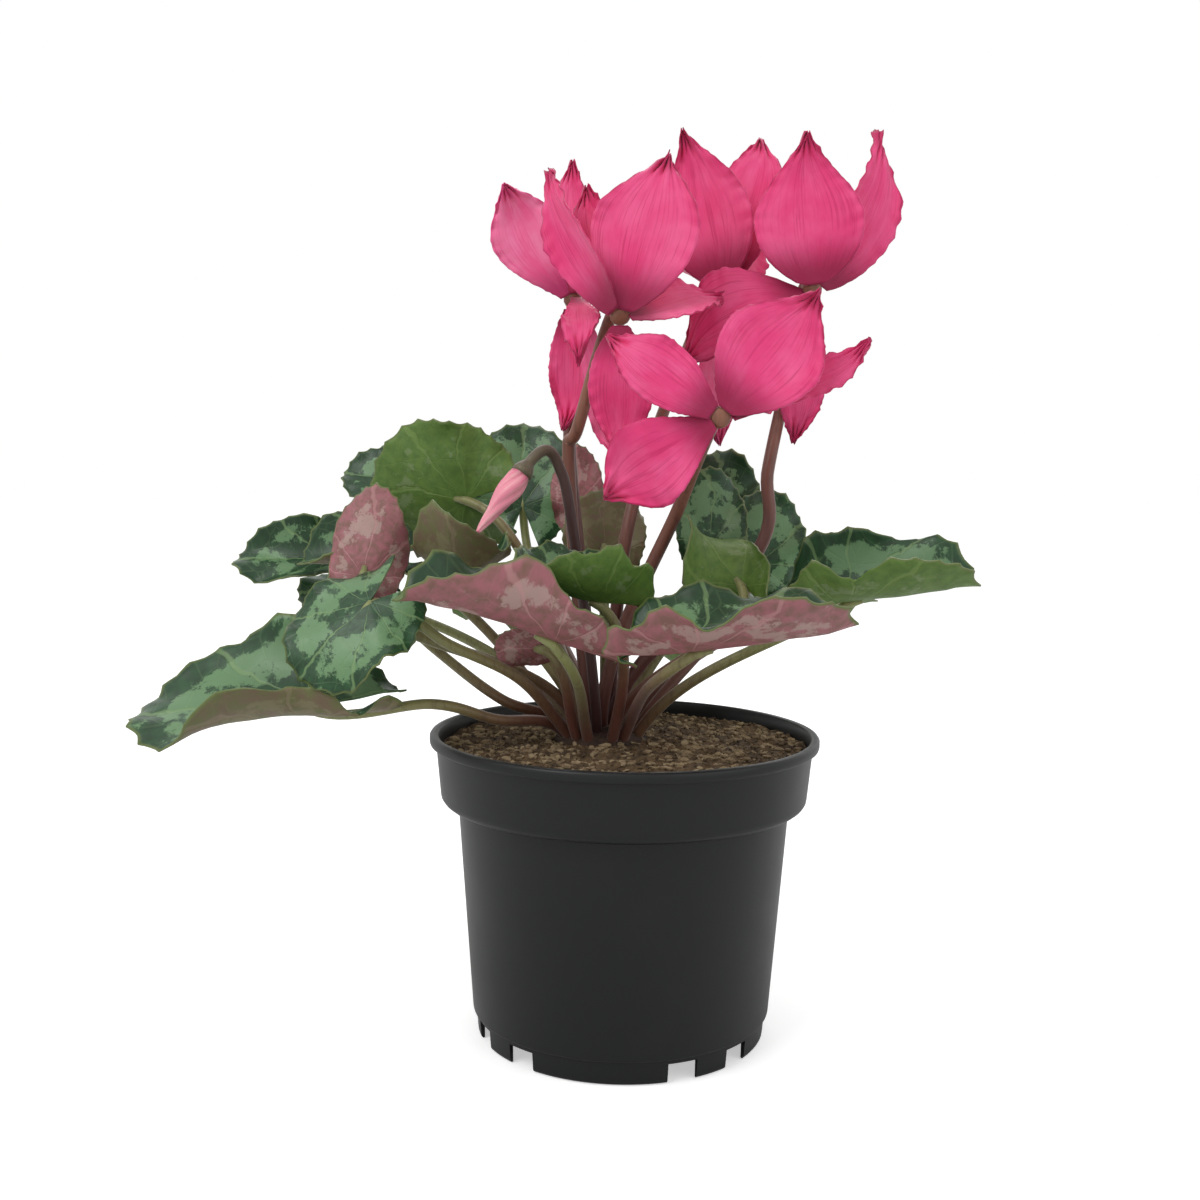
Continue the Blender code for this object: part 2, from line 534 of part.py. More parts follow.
def make_bud(parts):
    """Bud: a furled, pointed corolla below the hooked end of its stalk."""
    green = material("flower_stalk", (0.12, 0.035, 0.02), 0.5)
    pink = material("petal_pink", (0.85, 0.06, 0.2), 0.5)
    start, normal = ring_root(*BUD["root"])
    at, heading = Vector(BUD["at"]), direction(*BUD["head"])
    points = [start] + [Vector(p) for p in BUD["via"]] + [at]
    path = smooth_path(points, normal, heading, STALK_POINTS + 5) + [at + heading * 2.5]
    scales = [0.8] * (len(path) - 2) + [1.4, 1.6]
    add_object("bud_stalk", tube_mesh("bud_stalk", path, FLOWER_STALK_RADIUS, scales), parts, green)
    body = [at + heading * (2.5 + 2 * GAP + BUD["size"] * k / 6) for k in range(7)]
    swell = [0.8, 1.0, 0.98, 0.85, 0.75, 0.5, 0.2]
    add_object("bud", tube_mesh("bud", body, BUD["radius"], swell), parts, pink)


def main():
    for obj in list(bpy.data.objects):
        bpy.data.objects.remove(obj, do_unlink=True)
    parts = bpy.data.collections.new("potted_cyclamen")
    cutters = bpy.data.collections.new("cutters")
    for collection in (parts, cutters):
        bpy.context.scene.collection.children.link(collection)
    make_pot(parts, cutters)
    make_soil(parts, cutters)
    for name, leaf in LEAVES.items():
        make_leaf(name, leaf, parts, cutters)
    for name, flower in FLOWERS.items():
        make_flower(name, flower, parts)
    make_bud(parts)


main()
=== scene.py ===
"""Looks of the potted cyclamen, laid out as an add-on and run as a script."""
import math
import random

import bmesh
import bpy
from mathutils import Matrix, Vector, noise


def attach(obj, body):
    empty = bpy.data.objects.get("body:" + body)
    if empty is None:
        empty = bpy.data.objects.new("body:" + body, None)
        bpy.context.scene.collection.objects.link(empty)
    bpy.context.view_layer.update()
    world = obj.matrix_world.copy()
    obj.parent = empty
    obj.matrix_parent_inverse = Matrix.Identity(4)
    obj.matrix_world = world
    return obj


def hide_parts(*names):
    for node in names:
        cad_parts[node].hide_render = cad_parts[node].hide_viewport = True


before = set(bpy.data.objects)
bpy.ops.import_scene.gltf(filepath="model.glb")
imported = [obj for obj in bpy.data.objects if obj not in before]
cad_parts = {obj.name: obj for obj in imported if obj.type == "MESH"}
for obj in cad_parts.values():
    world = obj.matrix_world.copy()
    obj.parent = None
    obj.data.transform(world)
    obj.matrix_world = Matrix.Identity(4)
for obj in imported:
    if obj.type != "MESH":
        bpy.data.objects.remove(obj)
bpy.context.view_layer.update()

bl_info = {
    "name": "Potted Cyclamen",
    "version": (1, 0, 0),
    "blender": (4, 5, 0),
    "location": "View3D > Sidebar > Cyclamen",
    "description": "Builds a cyclamen in flower in a black nursery pot",
    "category": "Add Mesh",
}

MM = 0.001
CROWN = Vector((-8.0, 6.0, 95.0))
TUBER_RADIUS = 17.0
TUBER_RISE = 8.6
TUBER_DEPTH = 14.0
RING_RADIUS = (13.2, 8.7, 4.0)
GAP = 0.3
LEAF_SPREAD = 158.0
LEAF_WAVE = 1.6
LEAF_STALK_RADIUS = 1.8
STALK_END_SCALE = 0.5
PETAL_FOOT = 2.3
MOUTH_RADIUS = 2.6
LEAF_GRID = (132, 16)
PETAL_GRID = (28, 44)
STALK_SIDES = 14
STALK_RINGS = 40
POT_STEPS = 144
NOTCH_ANGLES = (24, 50, 114, 140, 204, 230, 294, 320)
NOTCH_WIDTH = 10.0
NOTCH_HEIGHT = 6.4
NOTCH_OUTLINE = ((44.0, -1.0), (53.0, -1.0), (53.0, NOTCH_HEIGHT), (47.9, NOTCH_HEIGHT), (47.9, 8.0),
                 (44.0, 8.0))
SOIL_RADIUS = 61.1
SOIL_RINGS = 60
SOIL_STEPS = 150
SOIL_BOTTOM = ((59.4, 82.2), (53.7, 80.2), (48.3, 8.4), (46.0, 7.6), (24.0, 7.6), (19.0, 1.7), (0.02, 1.7))
GRAINS = (2600, 0.25, 0.75, 0)
CHIPS = (700, 0.4, 1.3, 1)
FLOOR_SIDE = 6.0

# Which leaves show much silver (the rest get a darker upper face: less silver, and green darkened as painted
# shade), and what colour is underneath
SILVERY = {"leaf_left_low", "leaf_left_front", "leaf_silver_back", "leaf_silver_centre", "leaf_right",
           "leaf_centre", "leaf_right_inner", "leaf_folded"}
PINK_UNDER = {"leaf_front", "leaf_long_front", "leaf_pink_left", "leaf_pink_back", "leaf_young"}
BROWN_UNDER = {"leaf_left_grey", "leaf_left_low", "leaf_brown_centre", "leaf_left_back", "leaf_cupped"}
# Petals painted a lighter pink to stand in for light shining through them
BACKLIT_PAINTED_PETALS = {"petal_far_left_1", "petal_right_3", "petal_far_left_4", "petal_back_3"}

# Each leaf: where the stalk meets the blade, the way from there to the tip, the
# way the upper face looks, the length to the tip, the breadth as a share of the
# usual one, the bend of the midrib, the fold at the midrib, the curl of the left
# and right halves at base and tip, the twist, and where it grows on the crown.
LEAVES = {
    "leaf_left_low": dict(at=(-101, -22, 112), head=(185, 0), face=(-90, 63), size=58, broad=0.78,
                          bend=-4, fold=4, left=(120, -40), right=(35, -5), root=(0, 198), rise=42,
                          via=((-42, -14, 107.5), (-62, -21, 113.5))),
    "leaf_left_front": dict(at=(-80, -32, 147), head=(207, -38), face=(-100, 42), size=32, broad=1.0,
                            bend=-15, fold=-4, left=(-20, -15), right=(-20, -10), root=(0, 216), rise=45,
                            via=((-34, -15, 121), (-56, -23, 133))),
    "leaf_left_back": dict(at=(-96, 44, 141), head=(175, 2), face=(-90, 40), size=25, broad=0.7,
                           bend=5, fold=10, left=(60, 10), right=(10, 10), root=(0, 144), rise=45),
    "leaf_left_tip": dict(at=(-106, 28, 157), head=(180, -3), face=(-88, 35), size=34, broad=0.6,
                          bend=5, fold=15, left=(40, -40), right=(20, 10), root=(0, 162), rise=45,
                          via=((-42, 5, 111), (-67, 12, 128))),
    "leaf_left_grey": dict(at=(-84, 12, 158), head=(180, 0), face=(-90, 45), size=29, broad=0.9,
                           bend=0, fold=10, left=(100, 60), right=(15, 10), root=(0, 180)),
    "leaf_left_high": dict(at=(-84, 70, 182), head=(170, 12), face=(-90, 40), size=27, broad=0.8,
                           bend=0, fold=10, left=(20, 10), right=(10, 10), root=(0, 126),
                           via=((-48, 42, 150),)),
    "leaf_standing": dict(at=(-56, 22, 178), head=(176, 6), face=(92, 15), size=36, broad=1.15,
                          bend=10, fold=0, left=(25, 20), right=(60, 60), root=(1, 168)),
    "leaf_silver_back": dict(at=(-40, 68, 175), head=(95, 75), face=(-90, 10), size=33, broad=0.95,
                             bend=0, fold=5, left=(10, 10), right=(10, 10), root=(1, 140)),
    "leaf_pink_left": dict(at=(-86, -10, 153), head=(60, 78), face=(88, 12), size=32, broad=0.62,
                           bend=10, fold=0, left=(30, 30), right=(30, 30), root=(1, 196)),
    "leaf_cupped": dict(at=(-54, 2, 154), head=(265, -8), face=(-80, 85), size=38, broad=0.75,
                        bend=85, fold=10, left=(40, 40), right=(40, 40), root=(1, 224)),
    "leaf_centre": dict(at=(-8, -30, 148), head=(205, 10), face=(-90, 80), size=32, broad=1.0,
                        bend=10, fold=30, left=(70, 70), right=(30, 30), root=(0, 288)),
    "leaf_folded": dict(at=(38, -10, 152), head=(152, 46), face=(90, 35), size=30, broad=0.7,
                        bend=0, fold=0, left=(10, 10), right=(10, 10), twist=-150, root=(1, 304)),
    "leaf_front": dict(at=(20, -52, 136), head=(-9, 9), face=(-90, 84), size=49, broad=0.88,
                       bend=0, fold=18, left=(25, 25), right=(50, 40), root=(0, 306)),
    "leaf_right": dict(at=(71, -14, 148), head=(-13, 9), face=(-90, 68), size=42, broad=0.88,
                       bend=0, fold=25, left=(60, 50), right=(75, 60), root=(0, 342)),
    "leaf_dark_back": dict(at=(34, 44, 166), head=(100, 75), face=(-90, 15), size=32, broad=0.75,
                           bend=0, fold=5, left=(10, 10), right=(10, 10), root=(1, 56)),
    "leaf_right_inner": dict(at=(46, 26, 157), head=(60, 70), face=(-80, 20), size=27, broad=0.85,
                             bend=0, fold=5, left=(10, 10), right=(10, 10), root=(0, 18)),
    "leaf_silver_centre": dict(at=(29, 17, 164), head=(100, 78), face=(-90, 12), size=27, broad=0.7,
                               bend=0, fold=5, left=(10, 10), right=(10, 10), root=(1, 28)),
    "leaf_brown_centre": dict(at=(-8, 28, 160), head=(95, 72), face=(88, 10), size=24, broad=0.95,
                              bend=0, fold=5, left=(10, 10), right=(10, 10), root=(1, 84)),
    "leaf_pink_back": dict(at=(-19, 50, 176), head=(90, 70), face=(90, 0), size=23, broad=0.65,
                           bend=0, fold=5, left=(10, 10), right=(10, 10), root=(1, 112)),
    "leaf_long_front": dict(at=(-22, -40, 137), head=(192, 21), face=(-90, 84), size=50, broad=0.62,
                            bend=0, fold=25, left=(60, 90), right=(10, 10), root=(0, 252)),
    "leaf_young": dict(at=(-28, -12, 131), head=(185, -5), face=(88, 20), size=15, broad=0.9,
                       bend=0, fold=10, left=(30, 30), right=(30, 30), root=(0, 234)),
    "leaf_rear_left": dict(at=(-38, 68, 141), head=(120, -6), face=(125, 75), size=44, broad=0.9,
                           bend=-15, fold=8, left=(15, 10), right=(15, 10), root=(0, 108)),
    "leaf_rear": dict(at=(16, 76, 126), head=(85, -10), face=(85, 75), size=46, broad=0.9,
                      bend=-15, fold=8, left=(15, 10), right=(15, 10), root=(0, 72)),
    "leaf_rear_right": dict(at=(58, 58, 140), head=(45, -4), face=(45, 75), size=44, broad=0.9,
                            bend=-15, fold=8, left=(15, 10), right=(15, 10), root=(0, 36)),
}

# Each flower: the middle of its mouth, the way the mouth looks, the points that
# its stalk passes, where the stalk grows, and its petals. Each petal: the way to
# its tip, the way its broad face looks, length, width, where it is widest, the
# sideways bow, the bend along it and the curl of its sides.
FLOWERS = {
    "left": dict(
        at=(-3, -15, 237), mouth=(-80, -30), via=((-20, 10, 189), (-17, 5, 203)), root=(2, 200),
        petals=(
            dict(head=(15, 75), face=(-90, 8), size=53, width=35, belly=0.5, bow=0, bend=-10, curl=20),
            dict(head=(170, 57), face=(-150, 20), size=52, width=20, belly=0.5, bow=0, bend=-10, curl=30,
                 shift=(-2, -1, 0)),
            dict(head=(131, 67), face=(-90, 20), size=42, width=18, belly=0.6, bow=0, bend=-10, curl=20,
                 shift=(-5, 6, 4)),
            dict(head=(20, 20), face=(-90, 45), size=34, width=26, belly=0.6, bow=0, bend=-10, curl=20),
            dict(head=(-85, -80), face=(-90, 10), size=42, width=21, belly=0.5, bow=0, bend=-10, curl=20),
        )),
    "far_left": dict(
        at=(-20, 20, 246), mouth=(-100, -30), via=((-20, 24, 190), (-20, 27, 215)), root=(2, 128),
        petals=(
            dict(head=(185, 60), face=(-100, 15), size=42, width=24, belly=0.6, bow=-3, bend=-10, curl=20),
            dict(head=(120, 80), face=(-90, 10), size=46, width=14, belly=0.6, bow=0, bend=-10, curl=20,
                 shift=(4, -1, 1)),
            dict(head=(-90, -82), face=(-90, 5), size=42, width=15, belly=0.5, bow=0, bend=-10, curl=20,
                 shift=(-1, 3, 0)),
            dict(head=(-43, -71), face=(-90, 10), size=55, width=12, belly=0.7, bow=0, bend=0, curl=20,
                 shift=(4, -2, 0)),
            dict(head=(-85, -20), face=(-90, 60), size=38, width=13, belly=0.7, bow=0, bend=-10, curl=20),
        )),
    "back": dict(
        at=(31, 25, 251), mouth=(-90, -30), via=((0, 4, 169), (14, 26, 215)), root=(2, 56),
        petals=(
            dict(head=(150, 76), face=(-90, 5), size=54, width=32, belly=0.42, bow=0, bend=-10, curl=20),
            dict(head=(45, 70), face=(-90, 10), size=61, width=24, belly=0.55, bow=0, bend=-10, curl=20,
                 shift=(3, 4, 0)),
            dict(head=(-90, -88), face=(-90, 5), size=50, width=16, belly=0.6, bow=0, bend=-10, curl=20),
            dict(head=(120, 28), face=(90, 50), size=44, width=26, belly=0.6, bow=0, bend=-10, curl=20,
                 shift=(-2, 3, 2)),
            dict(head=(70, 40), face=(60, 40), size=42, width=26, belly=0.6, bow=0, bend=-10, curl=20,
                 shift=(3, 5, 0)),
        )),
    "right": dict(
        at=(60, 5, 248), mouth=(-80, -30), via=((43, 5, 161), (47, 9, 190), (54, 18, 222)), root=(2, 344),
        petals=(
            dict(head=(170, 84), face=(-90, 5), size=48, width=36, belly=0.42, bow=0, bend=-10, curl=20,
                 shift=(0, -2, 0)),
            dict(head=(10, 62), face=(-50, -5), size=57, width=22, belly=0.45, bow=4, bend=-10, curl=20,
                 shift=(3, 4, 0)),
            dict(head=(75, 72), face=(-90, 10), size=48, width=26, belly=0.6, bow=0, bend=-10, curl=20,
                 shift=(2, 8, 0)),
            dict(head=(190, -22), face=(-90, 25), size=45, width=30, belly=0.55, bow=4, bend=-10, curl=20),
            dict(head=(180, -86), face=(-90, 5), size=47, width=16, belly=0.6, bow=0, bend=-10, curl=20),
        )),
    "front": dict(
        at=(27, -45, 205), mouth=(-90, -5), via=((18, -2, 180),), root=(2, 272),
        petals=(
            dict(head=(182, 36), face=(-90, 10), size=39, width=21, belly=0.55, bow=0, bend=-10, curl=20),
            dict(head=(8, 52), face=(-90, 10), size=44, width=33, belly=0.5, bow=0, bend=-10, curl=20),
            dict(head=(12, 26), face=(-60, 50), size=49, width=13, belly=0.6, bow=0, bend=-10, curl=20,
                 shift=(2, 4, -1)),
            dict(head=(70, 5), face=(-90, 60), size=36, width=20, belly=0.6, bow=0, bend=-10, curl=20,
                 shift=(-2, 4, 3)),
            dict(head=(180, -33), face=(-90, 10), size=39, width=27, belly=0.6, bow=0, bend=-10, curl=20),
        )),
}

# The bud hangs from its own hooked stalk.
BUD = dict(at=(-31, -24, 191), via=((-18, -15, 173), (-22, -18, 190), (-26, -21, 195)),
           root=(1, 262), head=(205, -52), size=24, radius=3.6)


def direction(azimuth, elevation):
    """Unit vector from an azimuth and an elevation."""
    a, e = math.radians(azimuth), math.radians(elevation)
    return Vector((math.cos(e) * math.cos(a), math.cos(e) * math.sin(a), math.sin(e)))


def blade_frame(at, head, face):
    """Frame with Y to the tip, Z out of the upper face and X to the right."""
    y = direction(*head)
    z = direction(*face)
    z = (z - z.dot(y) * y).normalized()
    x = y.cross(z)
    rows = [(x[i], y[i], z[i], at[i]) for i in range(3)]
    return Matrix(rows + [(0, 0, 0, 1)])


def bent_point(x, y, spec):
    """Where a point of the flat blade lies once the midrib is bent and both halves are curled."""
    t = y / spec["size"]
    bend = math.radians(spec["bend"])
    along, up, steps = 0.0, 0.0, 12
    for k in range(steps):
        angle = bend * t * (k + 0.5) / steps
        along += y / steps * math.cos(angle)
        up += y / steps * math.sin(angle)
    angle = bend * t
    share = min(max(t, 0.0), 1.0)
    base, tip = spec["right"] if x > 0 else spec["left"]
    curl = math.radians(base + (tip - base) * share)
    fold = math.radians(spec["fold"])
    across, rise = 0.0, 0.0
    for k in range(steps):
        lean = fold + curl * abs(x) / spec["half"] * (k + 0.5) / steps
        across += abs(x) / steps * math.cos(lean)
        rise += abs(x) / steps * math.sin(lean)
    twist = math.radians(spec.get("twist", 0)) * t
    side = math.copysign(across, x)
    side, rise = (side * math.cos(twist) - rise * math.sin(twist),
                  side * math.sin(twist) + rise * math.cos(twist))
    return Vector((side, along - rise * math.sin(angle), up + rise * math.cos(angle)))


def leaf_reach(phi):
    """Distance from the stalk's joint to the margin, as a share of the leaf's length."""
    c = math.cos(phi)
    return 0.63 + 0.211 * c + 0.159 * c * c


def leaf_point(u, v, spec):
    """Blade point: u from -1 to 1 round the joint, v from 0 at the joint to 1 at the margin."""
    phi = math.radians(LEAF_SPREAD) * u
    reach = leaf_reach(phi) * spec["size"] * v
    x = reach * math.sin(phi) * spec["broad"]
    y = reach * math.cos(phi)
    point = bent_point(x, y, spec)
    point.z += LEAF_WAVE * v * v * math.sin(5.0 * phi + spec["size"])
    return point


def petal_point(u, v, spec):
    """Petal point: u from -1 to 1 across, v from 0 at the foot to 1 at the tip."""
    power = math.log(0.5) / math.log(spec["belly"])
    swell = math.sin(math.pi * min(v, 0.999) ** power) ** 0.85
    half = PETAL_FOOT + (spec["half"] - PETAL_FOOT) * swell
    point = bent_point(u * half, v * spec["size"], spec)
    point.x += spec["bow"] * math.sin(math.pi * v)
    return point


def ring_root(ring, azimuth):
    """Point and outward direction on the tuber's crown."""
    radius = RING_RADIUS[ring]
    height = TUBER_RISE * math.sqrt(1.0 - (radius / TUBER_RADIUS) ** 2)
    a = math.radians(azimuth)
    out = Vector((math.cos(a), math.sin(a), 0.0))
    normal = (out * radius / TUBER_RADIUS ** 2
              + Vector((0, 0, height / TUBER_RISE ** 2))).normalized()
    return CROWN + out * radius + Vector((0, 0, height)) + normal * 3.0 * GAP, normal


def smooth_path(points, start, end, count):
    """Smooth curve through points, leaving along start and arriving along end."""
    tangents = []
    for i, point in enumerate(points):
        if i == 0:
            tangents.append(start * (points[1] - point).length)
        elif i == len(points) - 1:
            tangents.append(end * (point - points[i - 1]).length)
        else:
            tangents.append((points[i + 1] - points[i - 1]) * 0.5)
    spans = len(points) - 1
    path = []
    for k in range(count):
        place = spans * k / (count - 1)
        i = min(int(place), spans - 1)
        t = place - i
        path.append((2 * t ** 3 - 3 * t ** 2 + 1) * points[i] + (t ** 3 - 2 * t ** 2 + t) * tangents[i]
                    + (3 * t ** 2 - 2 * t ** 3) * points[i + 1] + (t ** 3 - t ** 2) * tangents[i + 1])
    return path


def grid_sheet(name, grid, place, thickness, slots, values):
    """Thin sheet over a grid, with its flat coordinates as a UV map and float values stored on it."""
    nu, nv = grid
    verts, flats, extra = [], [], []
    for j in range(nv + 1):
        for i in range(nu + 1):
            u, v = 2.0 * i / nu - 1.0, j / nv
            point, flat = place(u, v)
            verts.append(point * MM)
            flats.append(flat)
            extra.append(v)
    faces = [(j * (nu + 1) + i, j * (nu + 1) + i + 1, (j + 1) * (nu + 1) + i + 1, (j + 1) * (nu + 1) + i)
             for j in range(nv) for i in range(nu)]
    mesh = bpy.data.meshes.new(name)
    mesh.from_pydata(verts, [], faces)
    layer = mesh.uv_layers.new(name="Flat")
    for loop in mesh.loops:
        layer.data[loop.index].uv = flats[loop.vertex_index]
    reach = mesh.attributes.new("reach", "FLOAT", "POINT")
    reach.data.foreach_set("value", extra)
    for key, value in values.items():
        made = mesh.attributes.new(key, "FLOAT", "POINT")
        made.data.foreach_set("value", [value] * len(verts))
    mesh.shade_smooth()
    for material in slots:
        mesh.materials.append(material)
    obj = bpy.data.objects.new(name, mesh)
    bpy.context.scene.collection.objects.link(obj)
    shell = obj.modifiers.new("Thickness", "SOLIDIFY")
    shell.thickness = thickness * MM
    shell.offset = 0.0
    shell.material_offset = len(slots) - 1
    shell.material_offset_rim = 0
    return obj


def rounds(sides, spans):
    """Faces of a round skin of so many sides and spans, closed at both ends."""
    faces = []
    for k in range(spans):
        for i in range(sides):
            after = (i + 1) % sides
            faces.append((k * sides + i, k * sides + after, (k + 1) * sides + after, (k + 1) * sides + i))
    faces += [tuple(reversed(range(sides))), tuple(range(spans * sides, (spans + 1) * sides))]
    return faces


def tube(name, path, radii, material, seed, sides=STALK_SIDES):
    """Round stalk along a path, closed at both ends."""
    verts, along = [], []
    side = None
    for k, point in enumerate(path):
        ahead = (path[min(k + 1, len(path) - 1)] - path[max(k - 1, 0)]).normalized()
        side = ahead.orthogonal() if side is None else side - side.dot(ahead) * ahead
        side.normalize()
        other = ahead.cross(side)
        for i in range(sides):
            a = math.tau * i / sides
            verts.append((point + (side * math.cos(a) + other * math.sin(a)) * radii[k]) * MM)
            along.append(k / (len(path) - 1))
    faces = rounds(sides, len(path) - 1)
    mesh = bpy.data.meshes.new(name)
    mesh.from_pydata(verts, [], faces)
    made = mesh.attributes.new("along", "FLOAT", "POINT")
    made.data.foreach_set("value", along)
    made = mesh.attributes.new("seed", "FLOAT", "POINT")
    made.data.foreach_set("value", [seed] * len(verts))
    mesh.shade_smooth()
    mesh.materials.append(material)
    obj = bpy.data.objects.new(name, mesh)
    bpy.context.scene.collection.objects.link(obj)
    return obj


def finish_piece(obj, slot, *nodes):
    """Ride on the root and stand for the frame's nodes; the slot argument is not used."""
    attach(obj, "root")
    if nodes:
        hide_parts(*nodes)
    return obj


# Materials

class Nodes:
    """Short way to write a node tree."""

    def __init__(self, tree):
        self.tree = tree

    def add(self, kind, inputs=(), **settings):
        node = self.tree.nodes.new(kind)
        for key, value in settings.items():
            setattr(node, key, value)
        for key, value in dict(inputs).items():
            if isinstance(value, bpy.types.NodeSocket):
                self.tree.links.new(value, node.inputs[key])
            else:
                node.inputs[key].default_value = value
        return node

    def math(self, operation, a, b=0.0):
        return self.add("ShaderNodeMath", {0: a, 1: b}, operation=operation).outputs[0]

    def band(self, value, low, high, to_low=0.0, to_high=1.0):
        node = self.add("ShaderNodeMapRange", {0: value, 1: low, 2: high, 3: to_low, 4: to_high},
                        interpolation_type="SMOOTHSTEP")
        return node.outputs[0]

    def mix(self, share, a, b):
        node = self.add("ShaderNodeMix", data_type="RGBA")
        for index, value in ((0, share), (6, a), (7, b)):
            if isinstance(value, bpy.types.NodeSocket):
                self.tree.links.new(value, node.inputs[index])
            elif index == 0:
                node.inputs[index].default_value = value
            else:
                node.inputs[index].default_value = (*value, 1.0)
        return node.outputs[2]

    def noise(self, vector, scale, detail=3.0, rough=0.55):
        return self.add("ShaderNodeTexNoise", {"Vector": vector, "Scale": scale, "Detail": detail,
                                               "Roughness": rough}).outputs[0]


def new_material(name):
    """Empty material with a Principled shader: the material, its nodes and the shader."""
    material = bpy.data.materials.new(name)
    material.use_nodes = True
    nodes = Nodes(material.node_tree)
    return material, nodes, material.node_tree.nodes["Principled BSDF"]


def bump(nodes, shader, height, strength, distance):
    """Feed a height to the shader's normal."""
    node = nodes.add("ShaderNodeBump", {"Height": height, "Strength": strength, "Distance": distance})
    nodes.tree.links.new(node.outputs[0], shader.inputs["Normal"])


def leaf_group():
    """Shader group: veins that fan out from the joint, and the silver between them."""
    tree = bpy.data.node_groups.new("Leaf Marking", "ShaderNodeTree")
    for name, kind in (("Flat", "NodeSocketVector"), ("Reach", "NodeSocketFloat"),
                       ("Seed", "NodeSocketFloat"), ("Silver Amount", "NodeSocketFloat")):
        tree.interface.new_socket(name=name, in_out="INPUT", socket_type=kind)
    for name in ("Veins", "Silver", "Mottle"):
        tree.interface.new_socket(name=name, in_out="OUTPUT", socket_type="NodeSocketFloat")
    n = Nodes(tree)
    source = n.add("NodeGroupInput").outputs
    shift = n.add("ShaderNodeCombineXYZ", {0: source["Seed"], 1: source["Seed"]}).outputs[0]
    place = n.add("ShaderNodeVectorMath", {0: source["Flat"], 1: shift}, operation="ADD").outputs[0]
    wobble = n.math("MULTIPLY", n.math("SUBTRACT", n.noise(place, 5.0), 0.5), 0.55)
    split = n.add("ShaderNodeSeparateXYZ", {0: source["Flat"]}).outputs
    x, y = n.math("SUBTRACT", split[0], 0.5), n.math("SUBTRACT", split[1], 0.5)
    angle = n.math("ADD", n.math("ARCTAN2", x, y), wobble)
    ray = n.math("ABSOLUTE", n.math("SINE", n.math("MULTIPLY", angle, 4.5)))
    width = n.math("ADD", n.math("MULTIPLY", source["Reach"], 0.02), 0.05)
    veins = n.band(n.math("DIVIDE", ray, n.math("MAXIMUM", width, 0.01)), 1.0, 2.6, 1.0, 0.0)
    cells = n.add("ShaderNodeTexVoronoi", {"Vector": place, "Scale": 11.0},
                  feature="DISTANCE_TO_EDGE").outputs[0]
    net = n.band(cells, 0.0, 0.04, 0.18, 0.0)
    middle = n.math("MULTIPLY", n.band(source["Reach"], 0.3, 0.52),
                    n.band(source["Reach"], 0.72, 0.9, 1.0, 0.0))
    blotch = n.math("ADD", n.math("MULTIPLY", n.noise(place, 10.0, 6.0, 0.7), 2.2),
                    n.math("MULTIPLY", middle, 0.4))
    silver = n.band(n.math("ADD", blotch, source["Silver Amount"]), 1.36, 1.52)
    out = n.add("NodeGroupOutput", {"Veins": n.math("MAXIMUM", n.math("MULTIPLY", veins, 0.9), net),
                                    "Silver": silver, "Mottle": n.noise(place, 26.0, 4.0)})
    return tree


def leaf_materials(settings):
    """Upper faces with much silver, and with little silver and green darkened as painted shade; and three
    undersides.
    """
    group = leaf_group()

    def marked(name, base, second, vein, silver_colour, silver_amount, rough):
        material, n, shader = new_material(name)
        flat = n.add("ShaderNodeUVMap", uv_map="Flat").outputs[0]
        reach = n.add("ShaderNodeAttribute", attribute_name="reach").outputs["Fac"]
        seed = n.add("ShaderNodeAttribute", attribute_name="seed").outputs["Fac"]
        mark = n.add("ShaderNodeGroup", node_tree=group)
        for key, value in (("Flat", flat), ("Reach", reach), ("Seed", seed)):
            n.tree.links.new(value, mark.inputs[key])
        mark.inputs["Silver Amount"].default_value = silver_amount
        veins, silver, mottle = mark.outputs
        colour = n.mix(n.band(mottle, 0.3, 0.7), base, second)
        colour = n.mix(n.math("MULTIPLY", silver, 0.85), colour, silver_colour)
        colour = n.mix(n.math("MULTIPLY", veins, 0.6), colour, vein)
        colour = n.mix(n.band(reach, 0.965, 1.0), colour, (0.13, 0.17, 0.05))
        n.tree.links.new(colour, shader.inputs["Base Color"])
        n.tree.links.new(n.math("ADD", n.math("MULTIPLY", mottle, 0.2), rough), shader.inputs["Roughness"])
        shader.inputs["Specular IOR Level"].default_value = 0.4
        shader.inputs["Subsurface Weight"].default_value = 0.0
        bump(n, shader, n.math("SUBTRACT", n.math("MULTIPLY", mottle, 0.4), veins), 0.35, 0.0006)
        return material

    green, silver = tuple(settings.leaf_colour), tuple(settings.silver_colour)
    deep = tuple(c * 0.5 for c in green)
    pale = (0.2, 0.32, 0.13)
    return {
        "silver": marked("Leaf silvered", green, deep, pale, silver, 0.1, 0.3),
        # Darker upper face: its lower silver amount is the leaves' own, its green at 0.8 is painted shade
        # for leaves lying in shadow
        "dark": marked("Leaf little silver, painted shade", tuple(c * 0.8 for c in green), deep, pale, silver, -0.06, 0.3),
        "under_green": marked("Underside green", (0.105, 0.19, 0.03), (0.07, 0.14, 0.022),
                              (0.16, 0.25, 0.06), (0.16, 0.23, 0.09), -0.2, 0.45),
        "under_pink": marked("Underside pink", (0.34, 0.12, 0.14), (0.2, 0.1, 0.08),
                             (0.48, 0.24, 0.24), (0.4, 0.27, 0.24), -0.05, 0.45),
        "under_brown": marked("Underside brown", (0.15, 0.1, 0.06), (0.12, 0.13, 0.045),
                              (0.22, 0.17, 0.1), (0.18, 0.16, 0.08), -0.05, 0.45),
    }


